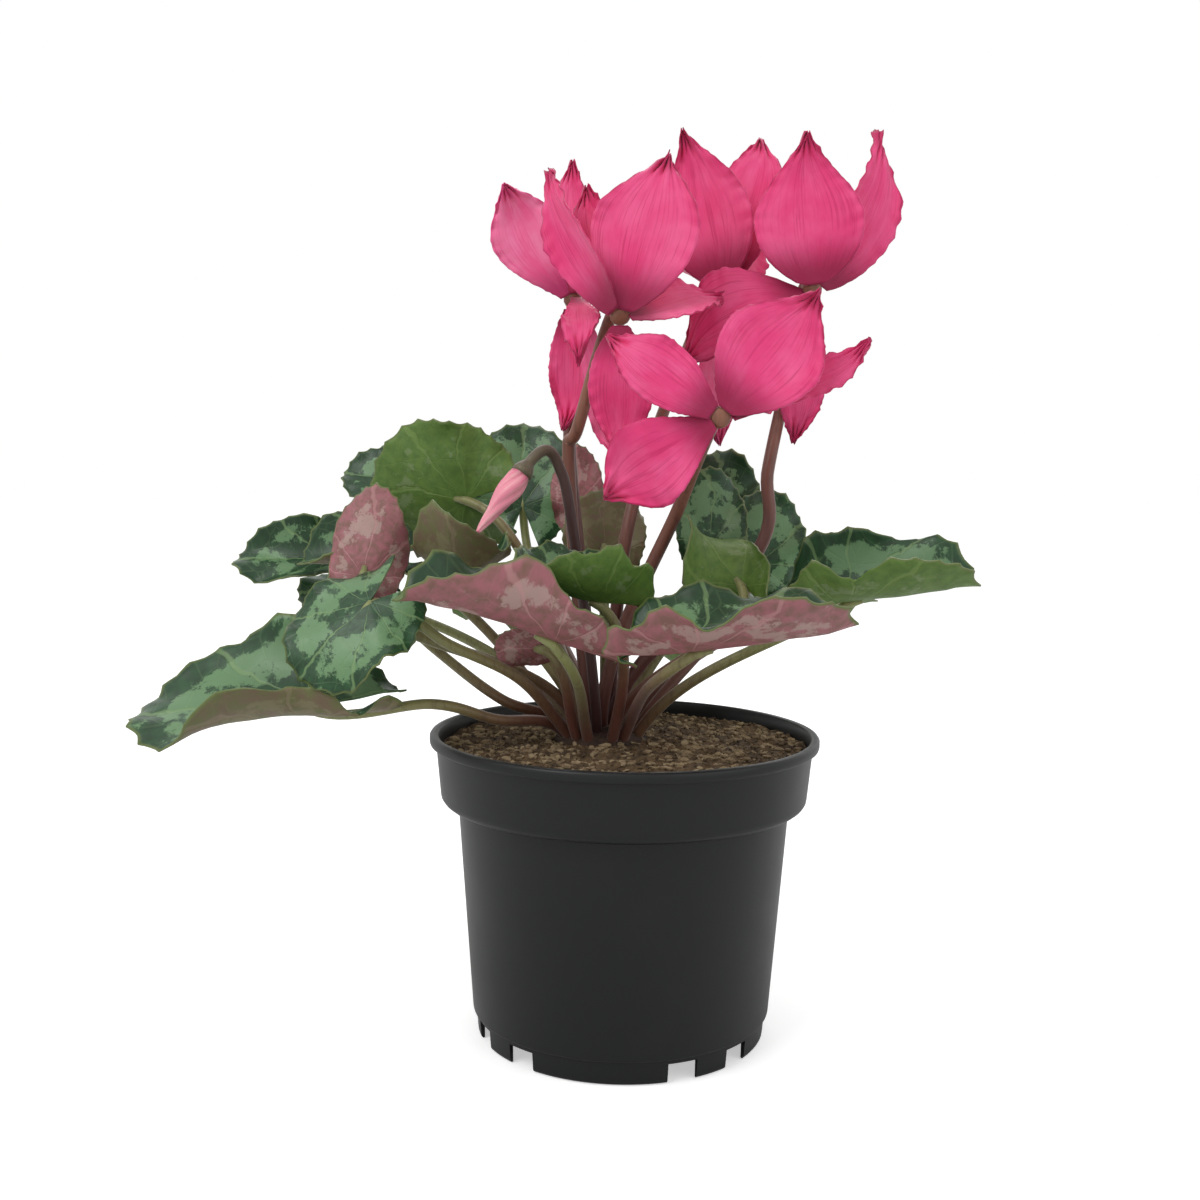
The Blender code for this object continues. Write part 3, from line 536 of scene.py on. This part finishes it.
def petal_material(name, main, light, dark):
    """Petal: dark throat, fine veins along it and a darker fringe."""
    material, n, shader = new_material(name)
    flat = n.add("ShaderNodeUVMap", uv_map="Flat").outputs[0]
    reach = n.add("ShaderNodeAttribute", attribute_name="reach").outputs["Fac"]
    seed = n.add("ShaderNodeAttribute", attribute_name="seed").outputs["Fac"]
    split = n.add("ShaderNodeSeparateXYZ", {0: flat}).outputs
    lines = n.add("ShaderNodeCombineXYZ", {0: n.math("MULTIPLY", split[0], 34.0),
                                           1: n.math("MULTIPLY", split[1], 1.6), 2: seed}).outputs[0]
    vein = n.noise(lines, 1.0, 4.0, 0.7)
    soft = n.noise(n.add("ShaderNodeCombineXYZ", {0: split[0], 1: split[1], 2: seed}).outputs[0], 3.0)
    colour = n.mix(n.band(soft, 0.3, 0.75), main, light)
    colour = n.mix(n.math("MULTIPLY", n.band(vein, 0.48, 0.7), 0.5), colour, dark)
    edge = n.band(n.math("ABSOLUTE", n.math("SUBTRACT", n.math("MULTIPLY", split[0], 2.0), 1.0)), 0.88, 1.0)
    tip = n.band(n.math("ADD", reach, n.math("MULTIPLY", soft, 0.08)), 0.9, 1.0)
    rim = n.math("MAXIMUM", n.math("MULTIPLY", edge, n.band(reach, 0.45, 0.8)), tip)
    colour = n.mix(n.math("MULTIPLY", rim, 0.7), colour, dark)
    throat = n.band(n.math("ADD", reach, n.math("MULTIPLY", vein, 0.2)), 0.16, 0.46, 1.0, 0.0)
    colour = n.mix(n.math("MULTIPLY", throat, 0.85), colour, tuple(c * 0.5 for c in dark))
    n.tree.links.new(colour, shader.inputs["Base Color"])
    n.tree.links.new(n.math("ADD", n.math("MULTIPLY", vein, 0.15), 0.45), shader.inputs["Roughness"])
    shader.inputs["Sheen Weight"].default_value = 0.15
    shader.inputs["Specular IOR Level"].default_value = 0.25
    bump(n, shader, vein, 0.3, 0.0003)
    return material


def stalk_material(name, low, high):
    """Stalk: one colour at the foot that turns to another at the top, with faint streaks."""
    material, n, shader = new_material(name)
    along = n.add("ShaderNodeAttribute", attribute_name="along").outputs["Fac"]
    seed = n.add("ShaderNodeAttribute", attribute_name="seed").outputs["Fac"]
    place = n.add("ShaderNodeTexCoord").outputs["Object"]
    drawn = n.add("ShaderNodeVectorMath", {0: place, 1: (1.0, 1.0, 0.12)}, operation="MULTIPLY").outputs[0]
    streak = n.noise(drawn, 700.0, 3.0)
    share = n.band(n.math("ADD", along, n.math("SUBTRACT", seed, 0.5)), 0.0, 1.0)
    colour = n.mix(share, low, high)
    colour = n.mix(n.math("MULTIPLY", n.band(streak, 0.45, 0.7), 0.35), colour, tuple(c * 0.45 for c in low))
    n.tree.links.new(colour, shader.inputs["Base Color"])
    n.tree.links.new(n.math("ADD", n.math("MULTIPLY", streak, 0.2), 0.35), shader.inputs["Roughness"])
    shader.inputs["Sheen Weight"].default_value = 0.2
    bump(n, shader, streak, 0.25, 0.0003)
    return material


def plastic_material(colour):
    """Black moulded plastic: satin, with a fine skin and a few dusty scuffs."""
    material, n, shader = new_material("Black plastic")
    place = n.add("ShaderNodeTexCoord").outputs["Object"]
    fine, wide = n.noise(place, 1500.0, 2.0), n.noise(place, 28.0, 5.0)
    n.tree.links.new(n.mix(n.math("MULTIPLY", n.band(wide, 0.5, 0.8), 0.35), colour, (0.014, 0.014, 0.0135)),
                     shader.inputs["Base Color"])
    n.tree.links.new(n.math("ADD", n.math("MULTIPLY", wide, 0.22), 0.3), shader.inputs["Roughness"])
    shader.inputs["Specular IOR Level"].default_value = 0.3
    bump(n, shader, fine, 0.12, 0.0002)
    return material


def soil_material(name, light, dark):
    """Peat and bark: colour that changes from grain to grain."""
    material, n, shader = new_material(name)
    place = n.add("ShaderNodeTexCoord").outputs["Object"]
    grain, wide = n.noise(place, 420.0, 6.0, 0.7), n.noise(place, 60.0, 3.0)
    cell = n.add("ShaderNodeTexVoronoi", {"Vector": place, "Scale": 330.0}).outputs["Color"]
    tone = n.add("ShaderNodeSeparateColor", {0: cell}).outputs[0]
    blend = n.math("ADD", n.math("MULTIPLY", grain, 0.6), n.math("MULTIPLY", wide, 0.4))
    colour = n.mix(n.band(blend, 0.35, 0.65), dark, light)
    colour = n.mix(n.band(tone, 0.8, 0.95, 0.0, 0.7), colour, (0.36, 0.27, 0.15))
    n.tree.links.new(colour, shader.inputs["Base Color"])
    shader.inputs["Roughness"].default_value = 0.92
    bump(n, shader, grain, 0.8, 0.001)
    return material


def colour_setting(name, description, default):
    """A colour that a user may change."""
    return bpy.props.FloatVectorProperty(name=name, description=description, subtype="COLOR", size=3,
                                         default=default, min=0, max=1)


class CyclamenSettings(bpy.types.PropertyGroup):
    """Colours and sizes that a user may change."""
    leaf_colour: colour_setting("Leaf", "Green of the upper faces", (0.017, 0.072, 0.022))
    silver_colour: colour_setting("Silver", "Marbling on the leaves", (0.15, 0.28, 0.13))
    petal_colour: colour_setting("Petal", "Main pink", (0.76, 0.045, 0.19))
    throat_colour: colour_setting("Throat", "Magenta of throats, veins and fringes", (0.42, 0.003, 0.07))
    pot_colour: colour_setting("Pot", "Pot plastic", (0.006, 0.0068, 0.007))
    fringe: bpy.props.FloatProperty(name="Fringe", description="Depth of the petals' ruffles in millimetres",
                                    default=1.7, min=0, max=4)
    tooth: bpy.props.FloatProperty(name="Tooth", description="Depth of the teeth, as a share of the leaf",
                                   default=0.035, min=0, max=0.1)


def pot_profile():
    """Turned outline of the pot, from the middle of its floor up, over the lip and down to its underside."""
    return ((0.0, 1.2), (19.2, 1.2), (23.2, 7.2), (48.5, 7.2), (49.0, 8.3), (54.2, 79.7), (58.5, 80.0),
            (60.1, 81.8), (61.6, 98.4), (62.1, 101.0), (62.5, 101.6), (62.9, 101.8), (64.0, 101.8),
            (64.6, 101.6), (65.0, 101.0), (65.0, 99.2), (64.8, 98.6), (64.4, 98.3), (63.3, 98.3),
            (62.9, 98.0), (62.8, 97.5), (61.3, 82.0), (61.1, 80.8), (60.5, 79.9), (59.6, 79.2),
            (58.5, 78.9), (55.9, 78.7), (55.5, 78.5), (55.4, 77.9), (50.2, 8.6), (50.1, 8.2), (49.8, 8.0),
            (49.1, 7.8), (49.0, 7.4), (48.5, 1.4), (48.4, 0.7), (48.0, 0.2), (47.6, 0.0), (47.2, 0.3),
            (47.3, 6.0), (24.0, 6.0), (20.4, 0.8), (19.8, 0.0), (0.0, 0.0))


class BuildPot(bpy.types.Operator):
    """Turn the pot, cut its drain notches and give it its plastic"""
    bl_idname = "cyclamen.pot"
    bl_label = "Pot"

    def execute(self, context):
        settings = context.scene.cyclamen
        mesh = bpy.data.meshes.new("pot_look")
        bm = bmesh.new()
        verts = [bm.verts.new((r * MM, 0, z * MM)) for r, z in pot_profile()]
        edges = [bm.edges.new(pair) for pair in zip(verts, verts[1:])]
        bmesh.ops.spin(bm, geom=verts + edges, axis=(0, 0, 1), cent=(0, 0, 0), angle=math.tau,
                       steps=POT_STEPS, use_merge=True)
        bmesh.ops.remove_doubles(bm, verts=bm.verts, dist=1e-6)
        bmesh.ops.recalc_face_normals(bm, faces=bm.faces)
        bm.to_mesh(mesh)
        bm.free()
        mesh.materials.append(plastic_material(tuple(settings.pot_colour)))
        pot = bpy.data.objects.new("pot_look", mesh)
        bpy.context.scene.collection.objects.link(pot)
        bm = bmesh.new()
        for angle in NOTCH_ANGLES:
            turn = Matrix.Rotation(math.radians(angle - 90.0), 3, "Z")
            corners = [turn @ Vector((r, -NOTCH_WIDTH / 2, z)) * MM for r, z in NOTCH_OUTLINE]
            face = bm.faces.new([bm.verts.new(corner) for corner in corners])
            moved = bmesh.ops.extrude_face_region(bm, geom=[face])
            bmesh.ops.translate(bm, verts=[g for g in moved["geom"] if isinstance(g, bmesh.types.BMVert)],
                                vec=turn @ Vector((0, NOTCH_WIDTH * MM, 0)))
        bmesh.ops.recalc_face_normals(bm, faces=bm.faces)
        tool = bpy.data.meshes.new("notches")
        bm.to_mesh(tool)
        bm.free()
        helper = bpy.data.objects.new("notches", tool)
        bpy.context.scene.collection.objects.link(helper)
        cut = pot.modifiers.new("Notches", "BOOLEAN")
        cut.object = helper
        bpy.context.view_layer.update()
        done = bpy.data.meshes.new_from_object(pot.evaluated_get(bpy.context.evaluated_depsgraph_get()))
        pot.modifiers.clear()
        pot.data = done
        bpy.data.objects.remove(helper)
        done.shade_smooth()
        done.set_sharp_from_angle(angle=math.radians(50))
        finish_piece(pot, "pot_plastic", "pot")
        return {"FINISHED"}


class BuildSoil(bpy.types.Operator):
    """Fill the pot with rough peat, loose grains, bark chips and the tuber"""
    bl_idname = "cyclamen.soil"
    bl_label = "Soil and tuber"

    def execute(self, context):
        peat = soil_material("Peat", (0.16, 0.1, 0.045), (0.035, 0.02, 0.01))
        chip = soil_material("Bark chips", (0.42, 0.32, 0.19), (0.11, 0.065, 0.03))
        rnd = random.Random(7)
        bm = bmesh.new()

        def height(x, y):
            place = Vector((x, y, 0)) * 0.12
            return (97.2 + 0.8 * (1 - (x * x + y * y) / 3700.0) + 1.5 * noise.noise(place)
                    + 0.9 * noise.noise(place * 3.1) + 0.5 * noise.noise(place * 8.0))

        outline = [(SOIL_RADIUS * k / SOIL_RINGS, None) for k in range(SOIL_RINGS + 1)] + list(SOIL_BOTTOM)
        rows = []
        for r, z in outline:
            ring = []
            for i in range(SOIL_STEPS):
                x, y = r * math.cos(math.tau * i / SOIL_STEPS), r * math.sin(math.tau * i / SOIL_STEPS)
                ring.append(bm.verts.new(Vector((x, y, height(x, y) if z is None else z)) * MM))
            rows.append(ring)
        for low, high in zip(rows, rows[1:]):
            for i in range(SOIL_STEPS):
                after = (i + 1) % SOIL_STEPS
                bm.faces.new((low[i], high[i], high[after], low[after]))
        bmesh.ops.remove_doubles(bm, verts=bm.verts, dist=1e-5)
        bmesh.ops.recalc_face_normals(bm, faces=bm.faces)
        for count, low, high, index in (GRAINS, CHIPS):
            for _ in range(count):
                r, a = 60.0 * math.sqrt(rnd.random()), rnd.random() * math.tau
                x, y, size = r * math.cos(a), r * math.sin(a), rnd.uniform(low, high)
                turn = Matrix.Rotation(rnd.random() * math.tau, 4, "Z")
                turn = turn @ Matrix.Rotation(rnd.uniform(-0.7, 0.7), 4, "X")
                long = rnd.uniform(1, 2.2 if index else 1.4)
                shape = Matrix.Diagonal((size * long, size, size * rnd.uniform(0.4, 0.9), 1))
                where = Matrix.Translation((x * MM, y * MM, (height(x, y) + size * 0.25) * MM))
                made = bmesh.ops.create_icosphere(bm, subdivisions=1, radius=1.0,
                                                  matrix=where @ turn @ shape @ Matrix.Scale(MM, 4))
                for vert in made["verts"]:
                    vert.co += Vector([rnd.uniform(-0.18, 0.18) * size * MM for _ in range(3)])
                for face in {f for v in made["verts"] for f in v.link_faces}:
                    face.material_index = index
        mesh = bpy.data.meshes.new("soil_look")
        bm.to_mesh(mesh)
        bm.free()
        mesh.materials.append(peat)
        mesh.materials.append(chip)
        soil = bpy.data.objects.new("soil_look", mesh)
        bpy.context.scene.collection.objects.link(soil)
        finish_piece(soil, "soil", "soil")
        bm = bmesh.new()
        bmesh.ops.create_uvsphere(bm, u_segments=80, v_segments=50, radius=1.0)
        for vert in bm.verts:
            rough = 1.0 + 0.03 * noise.noise(vert.co * 6.0) + 0.015 * noise.noise(vert.co * 19.0)
            rise = TUBER_RISE if vert.co.z > 0 else TUBER_DEPTH
            swell = Vector((vert.co.x * TUBER_RADIUS, vert.co.y * TUBER_RADIUS, vert.co.z * rise))
            vert.co = (CROWN + swell * rough) * MM
        mesh = bpy.data.meshes.new("tuber_look")
        bm.to_mesh(mesh)
        bm.free()
        mesh.shade_smooth()
        mesh.materials.append(soil_material("Tuber skin", (0.07, 0.04, 0.025), (0.018, 0.009, 0.006)))
        tuber = bpy.data.objects.new("tuber_look", mesh)
        bpy.context.scene.collection.objects.link(tuber)
        finish_piece(tuber, "tuber_skin", "tuber")
        return {"FINISHED"}


class BuildLeaves(bpy.types.Operator):
    """Lay out every leaf with its toothed margin, marbling and stalk"""
    bl_idname = "cyclamen.leaves"
    bl_label = "Leaves"

    def execute(self, context):
        settings = context.scene.cyclamen
        finishes = leaf_materials(settings)
        stalks = stalk_material("Leaf stalk", (0.15, 0.05, 0.03), (0.22, 0.24, 0.08))
        rnd = random.Random(11)
        for name, leaf in LEAVES.items():
            seed = rnd.random()
            spec = dict(leaf, half=0.67 * leaf["size"] * leaf["broad"])
            box = blade_frame(leaf["at"], leaf["head"], leaf["face"])

            def place(u, v, spec=spec, box=box, seed=seed):
                phi = math.radians(LEAF_SPREAD) * u
                tooth = 1.0 - settings.tooth * v ** 8 * abs(math.sin(phi * 15.0))
                reach = leaf_reach(phi) * spec["size"] * v * tooth
                x, y = reach * math.sin(phi) * spec["broad"], reach * math.cos(phi)
                point = bent_point(x, y, spec)
                point.z += LEAF_WAVE * v * v * math.sin(5.0 * phi + spec["size"])
                point.z += spec["size"] * (0.085 * v ** 3 * math.sin(3.0 * phi + 9.0 * seed)
                                           + 0.045 * v ** 5 * math.sin(8.0 * phi + 7.0 * seed))
                spot = Vector((x * 0.09, y * 0.09, seed * 9.0))
                point.z += 1.3 * v * noise.noise(spot) + 0.9 * v ** 3 * noise.noise(spot * 2.3)
                point.z += 0.35 * v * (abs(math.sin(4.5 * phi)) - 0.5)
                size = spec["size"]
                return box @ point, (0.5 + 0.45 * x / size, 0.5 + 0.45 * y / size)

            # Leaves outside SILVERY take the upper face with less silver and painted shade
            upper = finishes["silver" if name in SILVERY else "dark"]
            under = finishes["under_pink" if name in PINK_UNDER else
                             "under_brown" if name in BROWN_UNDER else "under_green"]
            blade = grid_sheet(name + "_blade", LEAF_GRID, place, 0.55, (upper, under), {"seed": seed})
            finish_piece(blade, "leaf", name)
            start, normal = ring_root(*leaf["root"])
            leave = direction(leaf["root"][1], leaf["rise"]) if "rise" in leaf else normal
            below = Vector((0, 0, -0.6 * LEAF_STALK_RADIUS))
            joint = box @ (bent_point(0.0, 0.0, spec) + below)
            ending = box @ (bent_point(0.0, 0.12 * spec["size"], spec) + below * STALK_END_SCALE)
            arrive = (box.to_3x3() @ Vector((0, 1, 0.5))).normalized()
            points = [start] + [Vector(p) for p in leaf.get("via", ())] + [joint]
            path = [start - normal * 3.0] + smooth_path(points, leave, arrive, STALK_RINGS) + [ending]
            radii = [2.1] + [1.95 - 0.35 * k / STALK_RINGS for k in range(STALK_RINGS)] + [0.8]
            stalk = tube(name + "_stalk", path, radii, stalks, 0.15 + 0.7 * seed)
            finish_piece(stalk, "leaf", name)
        return {"FINISHED"}


class BuildFlowers(bpy.types.Operator):
    """Set the ruffled petals round each flower's mouth and run its stalk down to the crown"""
    bl_idname = "cyclamen.flowers"
    bl_label = "Flowers"

    def execute(self, context):
        settings = context.scene.cyclamen
        main, dark = tuple(settings.petal_colour), tuple(settings.throat_colour)
        pink = petal_material("Petal", main, (0.82, 0.1, 0.27), dark)
        # Lighter pink, light and throat colours: painted light shining through these petals
        pale = petal_material("Petal painted backlight", (0.82, 0.11, 0.28), (0.85, 0.22, 0.4), (0.7, 0.03, 0.2))
        stalks = stalk_material("Flower stalk", (0.1, 0.025, 0.018), (0.24, 0.09, 0.05))
        rnd = random.Random(5)
        for name, flower in FLOWERS.items():
            at, mouth = Vector(flower["at"]), direction(*flower["mouth"])
            start, normal = ring_root(*flower["root"])
            points = [start] + [Vector(p) for p in flower["via"]] + [at - mouth * 6.0]
            path = [start - normal * 3.0] + smooth_path(points, normal, mouth, STALK_RINGS)
            path += [at - mouth * d for d in (5.0, 4.0, 3.0, 2.0, 1.0, 0.2)]
            radii = [2.4] + [2.3 - 0.3 * k / STALK_RINGS for k in range(STALK_RINGS)]
            radii += [2.3, 2.9, 3.3, 3.4, 3.2, 2.4]
            stalk = tube("flower_stalk_" + name + "_look", path, radii, stalks, 0.3 + 0.6 * rnd.random())
            finish_piece(stalk, "flower_stalk", "flower_stalk_" + name)
            for number, petal in enumerate(flower["petals"], 1):
                title = f"petal_{name}_{number}"
                seed = rnd.random() * 7.0
                heading = direction(*petal["head"])
                spread = (heading - heading.dot(mouth) * mouth).normalized()
                foot = at + spread * MOUTH_RADIUS + Vector(petal.get("shift", (0, 0, 0))) * 0.5
                spec = dict(petal, fold=0, half=petal["width"] / 2, left=(petal["curl"],) * 2,
                            right=(petal["curl"],) * 2, twist=24.0 * math.sin(seed * 5.0))
                box = blade_frame(foot, petal["head"], petal["face"])

                def place(u, v, spec=spec, box=box, seed=seed):
                    narrow = 1.0
                    if v > spec["belly"]:
                        power = math.log(0.5) / math.log(spec["belly"])
                        narrow = math.sin(math.pi * min(v, 0.995) ** power) ** 0.45
                    point = petal_point(u * narrow, v, spec)
                    rim = max(abs(u) ** 3 * min(1.0, v * 1.6), max(0.0, (v - 0.72) / 0.28))
                    rim *= min(1.0, v * 2.0)
                    ruffle = noise.noise(Vector((u * 2.2, v * 5.0, seed)))
                    crimp = math.sin(v * 62.0 + seed * 5.0 + 3.0 * ruffle) * abs(u) ** 4 * v
                    tipped = math.sin(u * 13.0 + seed) * max(0.0, (v - 0.8) / 0.2)
                    point.z += settings.fringe * (1.6 * ruffle * rim + 0.5 * crimp + 0.9 * tipped)
                    jag = noise.noise(Vector((u * 9.0, v * 22.0, seed + 4.0)))
                    point.y += 1.5 * jag * max(0.0, (v - 0.75) / 0.25)
                    point.x += math.copysign(0.7 * jag * abs(u) ** 6, u)
                    point.x += 2.6 * math.sin(seed * 3.0) * max(0.0, (v - 0.7) / 0.3) ** 2
                    point.z += 8.0 * math.cos(seed * 4.0) * max(0.0, (v - 0.65) / 0.35) ** 2
                    return box @ point, (0.5 + 0.5 * u, v)

                # Petals in the set take the lighter finish that paints light shining through them
                finish = pale if title in BACKLIT_PAINTED_PETALS else pink
                obj = grid_sheet(title + "_look", PETAL_GRID, place, 0.35, (finish,), {"seed": seed})
                finish_piece(obj, "petal", title)
        return {"FINISHED"}


class BuildBud(bpy.types.Operator):
    """Hang the furled bud from its hooked stalk"""
    bl_idname = "cyclamen.bud"
    bl_label = "Bud"

    def execute(self, context):
        start, normal = ring_root(*BUD["root"])
        at, heading = Vector(BUD["at"]), direction(*BUD["head"])
        points = [start] + [Vector(p) for p in BUD["via"]] + [at]
        path = [start - normal * 3.0] + smooth_path(points, normal, heading, STALK_RINGS)
        path += [at + heading * d for d in (1.0, 2.0, 3.0, 4.5)]
        radii = [1.9] + [1.8] * STALK_RINGS + [2.4, 3.0, 3.4, 3.6]
        stalks = stalk_material("Bud stalk", (0.05, 0.014, 0.012), (0.12, 0.1, 0.05))
        stalk = tube("bud_stalk_look", path, radii, stalks, 0.3)
        finish_piece(stalk, "flower_stalk", "bud_stalk")
        sides, rings = 60, 50
        across = heading.orthogonal().normalized()
        other = heading.cross(across)
        verts, flats = [], []
        for k in range(rings + 1):
            t = k / rings
            swell = 3.6 * (0.75 + 0.45 * math.sin(math.pi * min(1, t * 1.5)) * (1 - t)) * (1 - t ** 3 * 0.75)
            for i in range(sides):
                a = math.tau * i / sides
                r = swell * (0.9 + 0.16 * abs(math.sin(2.5 * (a - 2.6 * t))))
                out = across * math.cos(a) + other * math.sin(a)
                verts.append((at + heading * (3.4 + BUD["size"] * t) + out * r) * MM)
                flats.append((((a - 2.6 * t) / math.tau * 5) % 1.0, 0.2 + 0.7 * t))
        faces = rounds(sides, rings)
        mesh = bpy.data.meshes.new("bud_look")
        mesh.from_pydata(verts, [], faces)
        layer = mesh.uv_layers.new(name="Flat")
        for loop in mesh.loops:
            layer.data[loop.index].uv = flats[loop.vertex_index]
        for key, values in (("reach", [f[1] for f in flats]), ("seed", [1.0] * len(flats))):
            made = mesh.attributes.new(key, "FLOAT", "POINT")
            made.data.foreach_set("value", values)
        mesh.shade_smooth()
        mesh.materials.append(petal_material("Bud petal", (0.85, 0.25, 0.36), (0.9, 0.5, 0.5),
                                             (0.75, 0.05, 0.2)))
        bud = bpy.data.objects.new("bud_look", mesh)
        bpy.context.scene.collection.objects.link(bud)
        finish_piece(bud, "petal", "bud")
        return {"FINISHED"}


class BuildStage(bpy.types.Operator):
    """Lay the white floor, light the plant softly and set the camera"""
    bl_idname = "cyclamen.stage"
    bl_label = "Stage"

    def execute(self, context):
        scene = context.scene
        scene.view_settings.view_transform = "Standard"
        world = bpy.data.worlds.new("Studio")
        scene.world = world
        world.use_nodes = True
        n = Nodes(world.node_tree)
        path = n.add("ShaderNodeLightPath").outputs
        seen = n.math("MAXIMUM", path["Is Camera Ray"], n.math("MAXIMUM", path["Is Glossy Ray"],
                                                               path["Is Transmission Ray"]))
        back = world.node_tree.nodes["Background"]
        back.inputs[0].default_value = (1, 1, 1, 1)
        n.tree.links.new(n.band(seen, 0.0, 1.0, 0.62, 1.0), back.inputs[1])
        mesh = bpy.data.meshes.new("floor")
        corners = [(x * FLOOR_SIDE, y * FLOOR_SIDE, 0) for x, y in ((-1, -1), (1, -1), (1, 1), (-1, 1))]
        mesh.from_pydata(corners, [], [(0, 1, 2, 3)])
        material, n, shader = new_material("White floor")
        shader.inputs["Base Color"].default_value = (0.86, 0.86, 0.86, 1)
        shader.inputs["Roughness"].default_value = 0.9
        seen = n.add("ShaderNodeLightPath").outputs["Is Camera Ray"]
        glow = n.math("MULTIPLY", seen, 0.48)
        shader.inputs["Emission Color"].default_value = (1, 1, 1, 1)
        n.tree.links.new(glow, shader.inputs["Emission Strength"])
        mesh.materials.append(material)
        floor = bpy.data.objects.new("floor", mesh)
        scene.collection.objects.link(floor)
        floor.location.z = -0.0002
        for name, place, power, size in (("Key", (-0.7, -0.7, 1.1), 7.0, 0.7),
                                         ("Fill", (0.9, -0.6, 0.7), 2.0, 0.9),
                                         ("Rear", (0.1, 0.9, 1.0), 4.0, 0.8)):
            lamp = bpy.data.lights.new(name, "AREA")
            lamp.energy, lamp.size = power, size
            obj = bpy.data.objects.new(name, lamp)
            obj.location = place
            obj.rotation_euler = (Vector((0, 0, 0.15)) - Vector(place)).to_track_quat("-Z", "Y").to_euler()
            scene.collection.objects.link(obj)
        pitch, roll, yaw = (math.radians(a) for a in (5.53, 0.75, -1.10))
        ahead = Vector((math.sin(yaw) * math.cos(pitch), math.cos(yaw) * math.cos(pitch), -math.sin(pitch)))
        right = Vector((math.cos(yaw), -math.sin(yaw), 0))
        up = right.cross(ahead)
        x = right * math.cos(roll) + up * math.sin(roll)
        y = up * math.cos(roll) - right * math.sin(roll)
        data = bpy.data.cameras.new("Camera")
        data.lens, data.sensor_width, data.clip_start = 41.22, 36.0, 0.01
        camera = bpy.data.objects.new("Camera", data)
        scene.collection.objects.link(camera)
        place = (0.0, -0.456, 0.190)
        camera.matrix_world = Matrix([(x[i], y[i], -ahead[i], place[i]) for i in range(3)] + [(0, 0, 0, 1)])
        scene.camera = camera
        return {"FINISHED"}


OPERATORS = (BuildStage, BuildPot, BuildSoil, BuildLeaves, BuildFlowers, BuildBud)


class CyclamenPanel(bpy.types.Panel):
    """Sidebar panel that lists the settings and the pieces"""
    bl_idname = "VIEW3D_PT_cyclamen"
    bl_label = "Cyclamen"
    bl_space_type = "VIEW_3D"
    bl_region_type = "UI"
    bl_category = "Cyclamen"

    def draw(self, context):
        settings = context.scene.cyclamen
        for key in CyclamenSettings.__annotations__:
            self.layout.prop(settings, key)
        for operator in OPERATORS:
            self.layout.operator(operator.bl_idname)


CLASSES = (CyclamenSettings, *OPERATORS, CyclamenPanel)


def register():
    for cls in CLASSES:
        bpy.utils.register_class(cls)
    bpy.types.Scene.cyclamen = bpy.props.PointerProperty(type=CyclamenSettings)


def unregister():
    del bpy.types.Scene.cyclamen
    for cls in reversed(CLASSES):
        bpy.utils.unregister_class(cls)


def main():
    register()
    for operator in OPERATORS:
        getattr(bpy.ops.cyclamen, operator.bl_idname.split(".")[1])()
    bpy.context.view_layer.update()


if __name__ == "__main__":
    main()
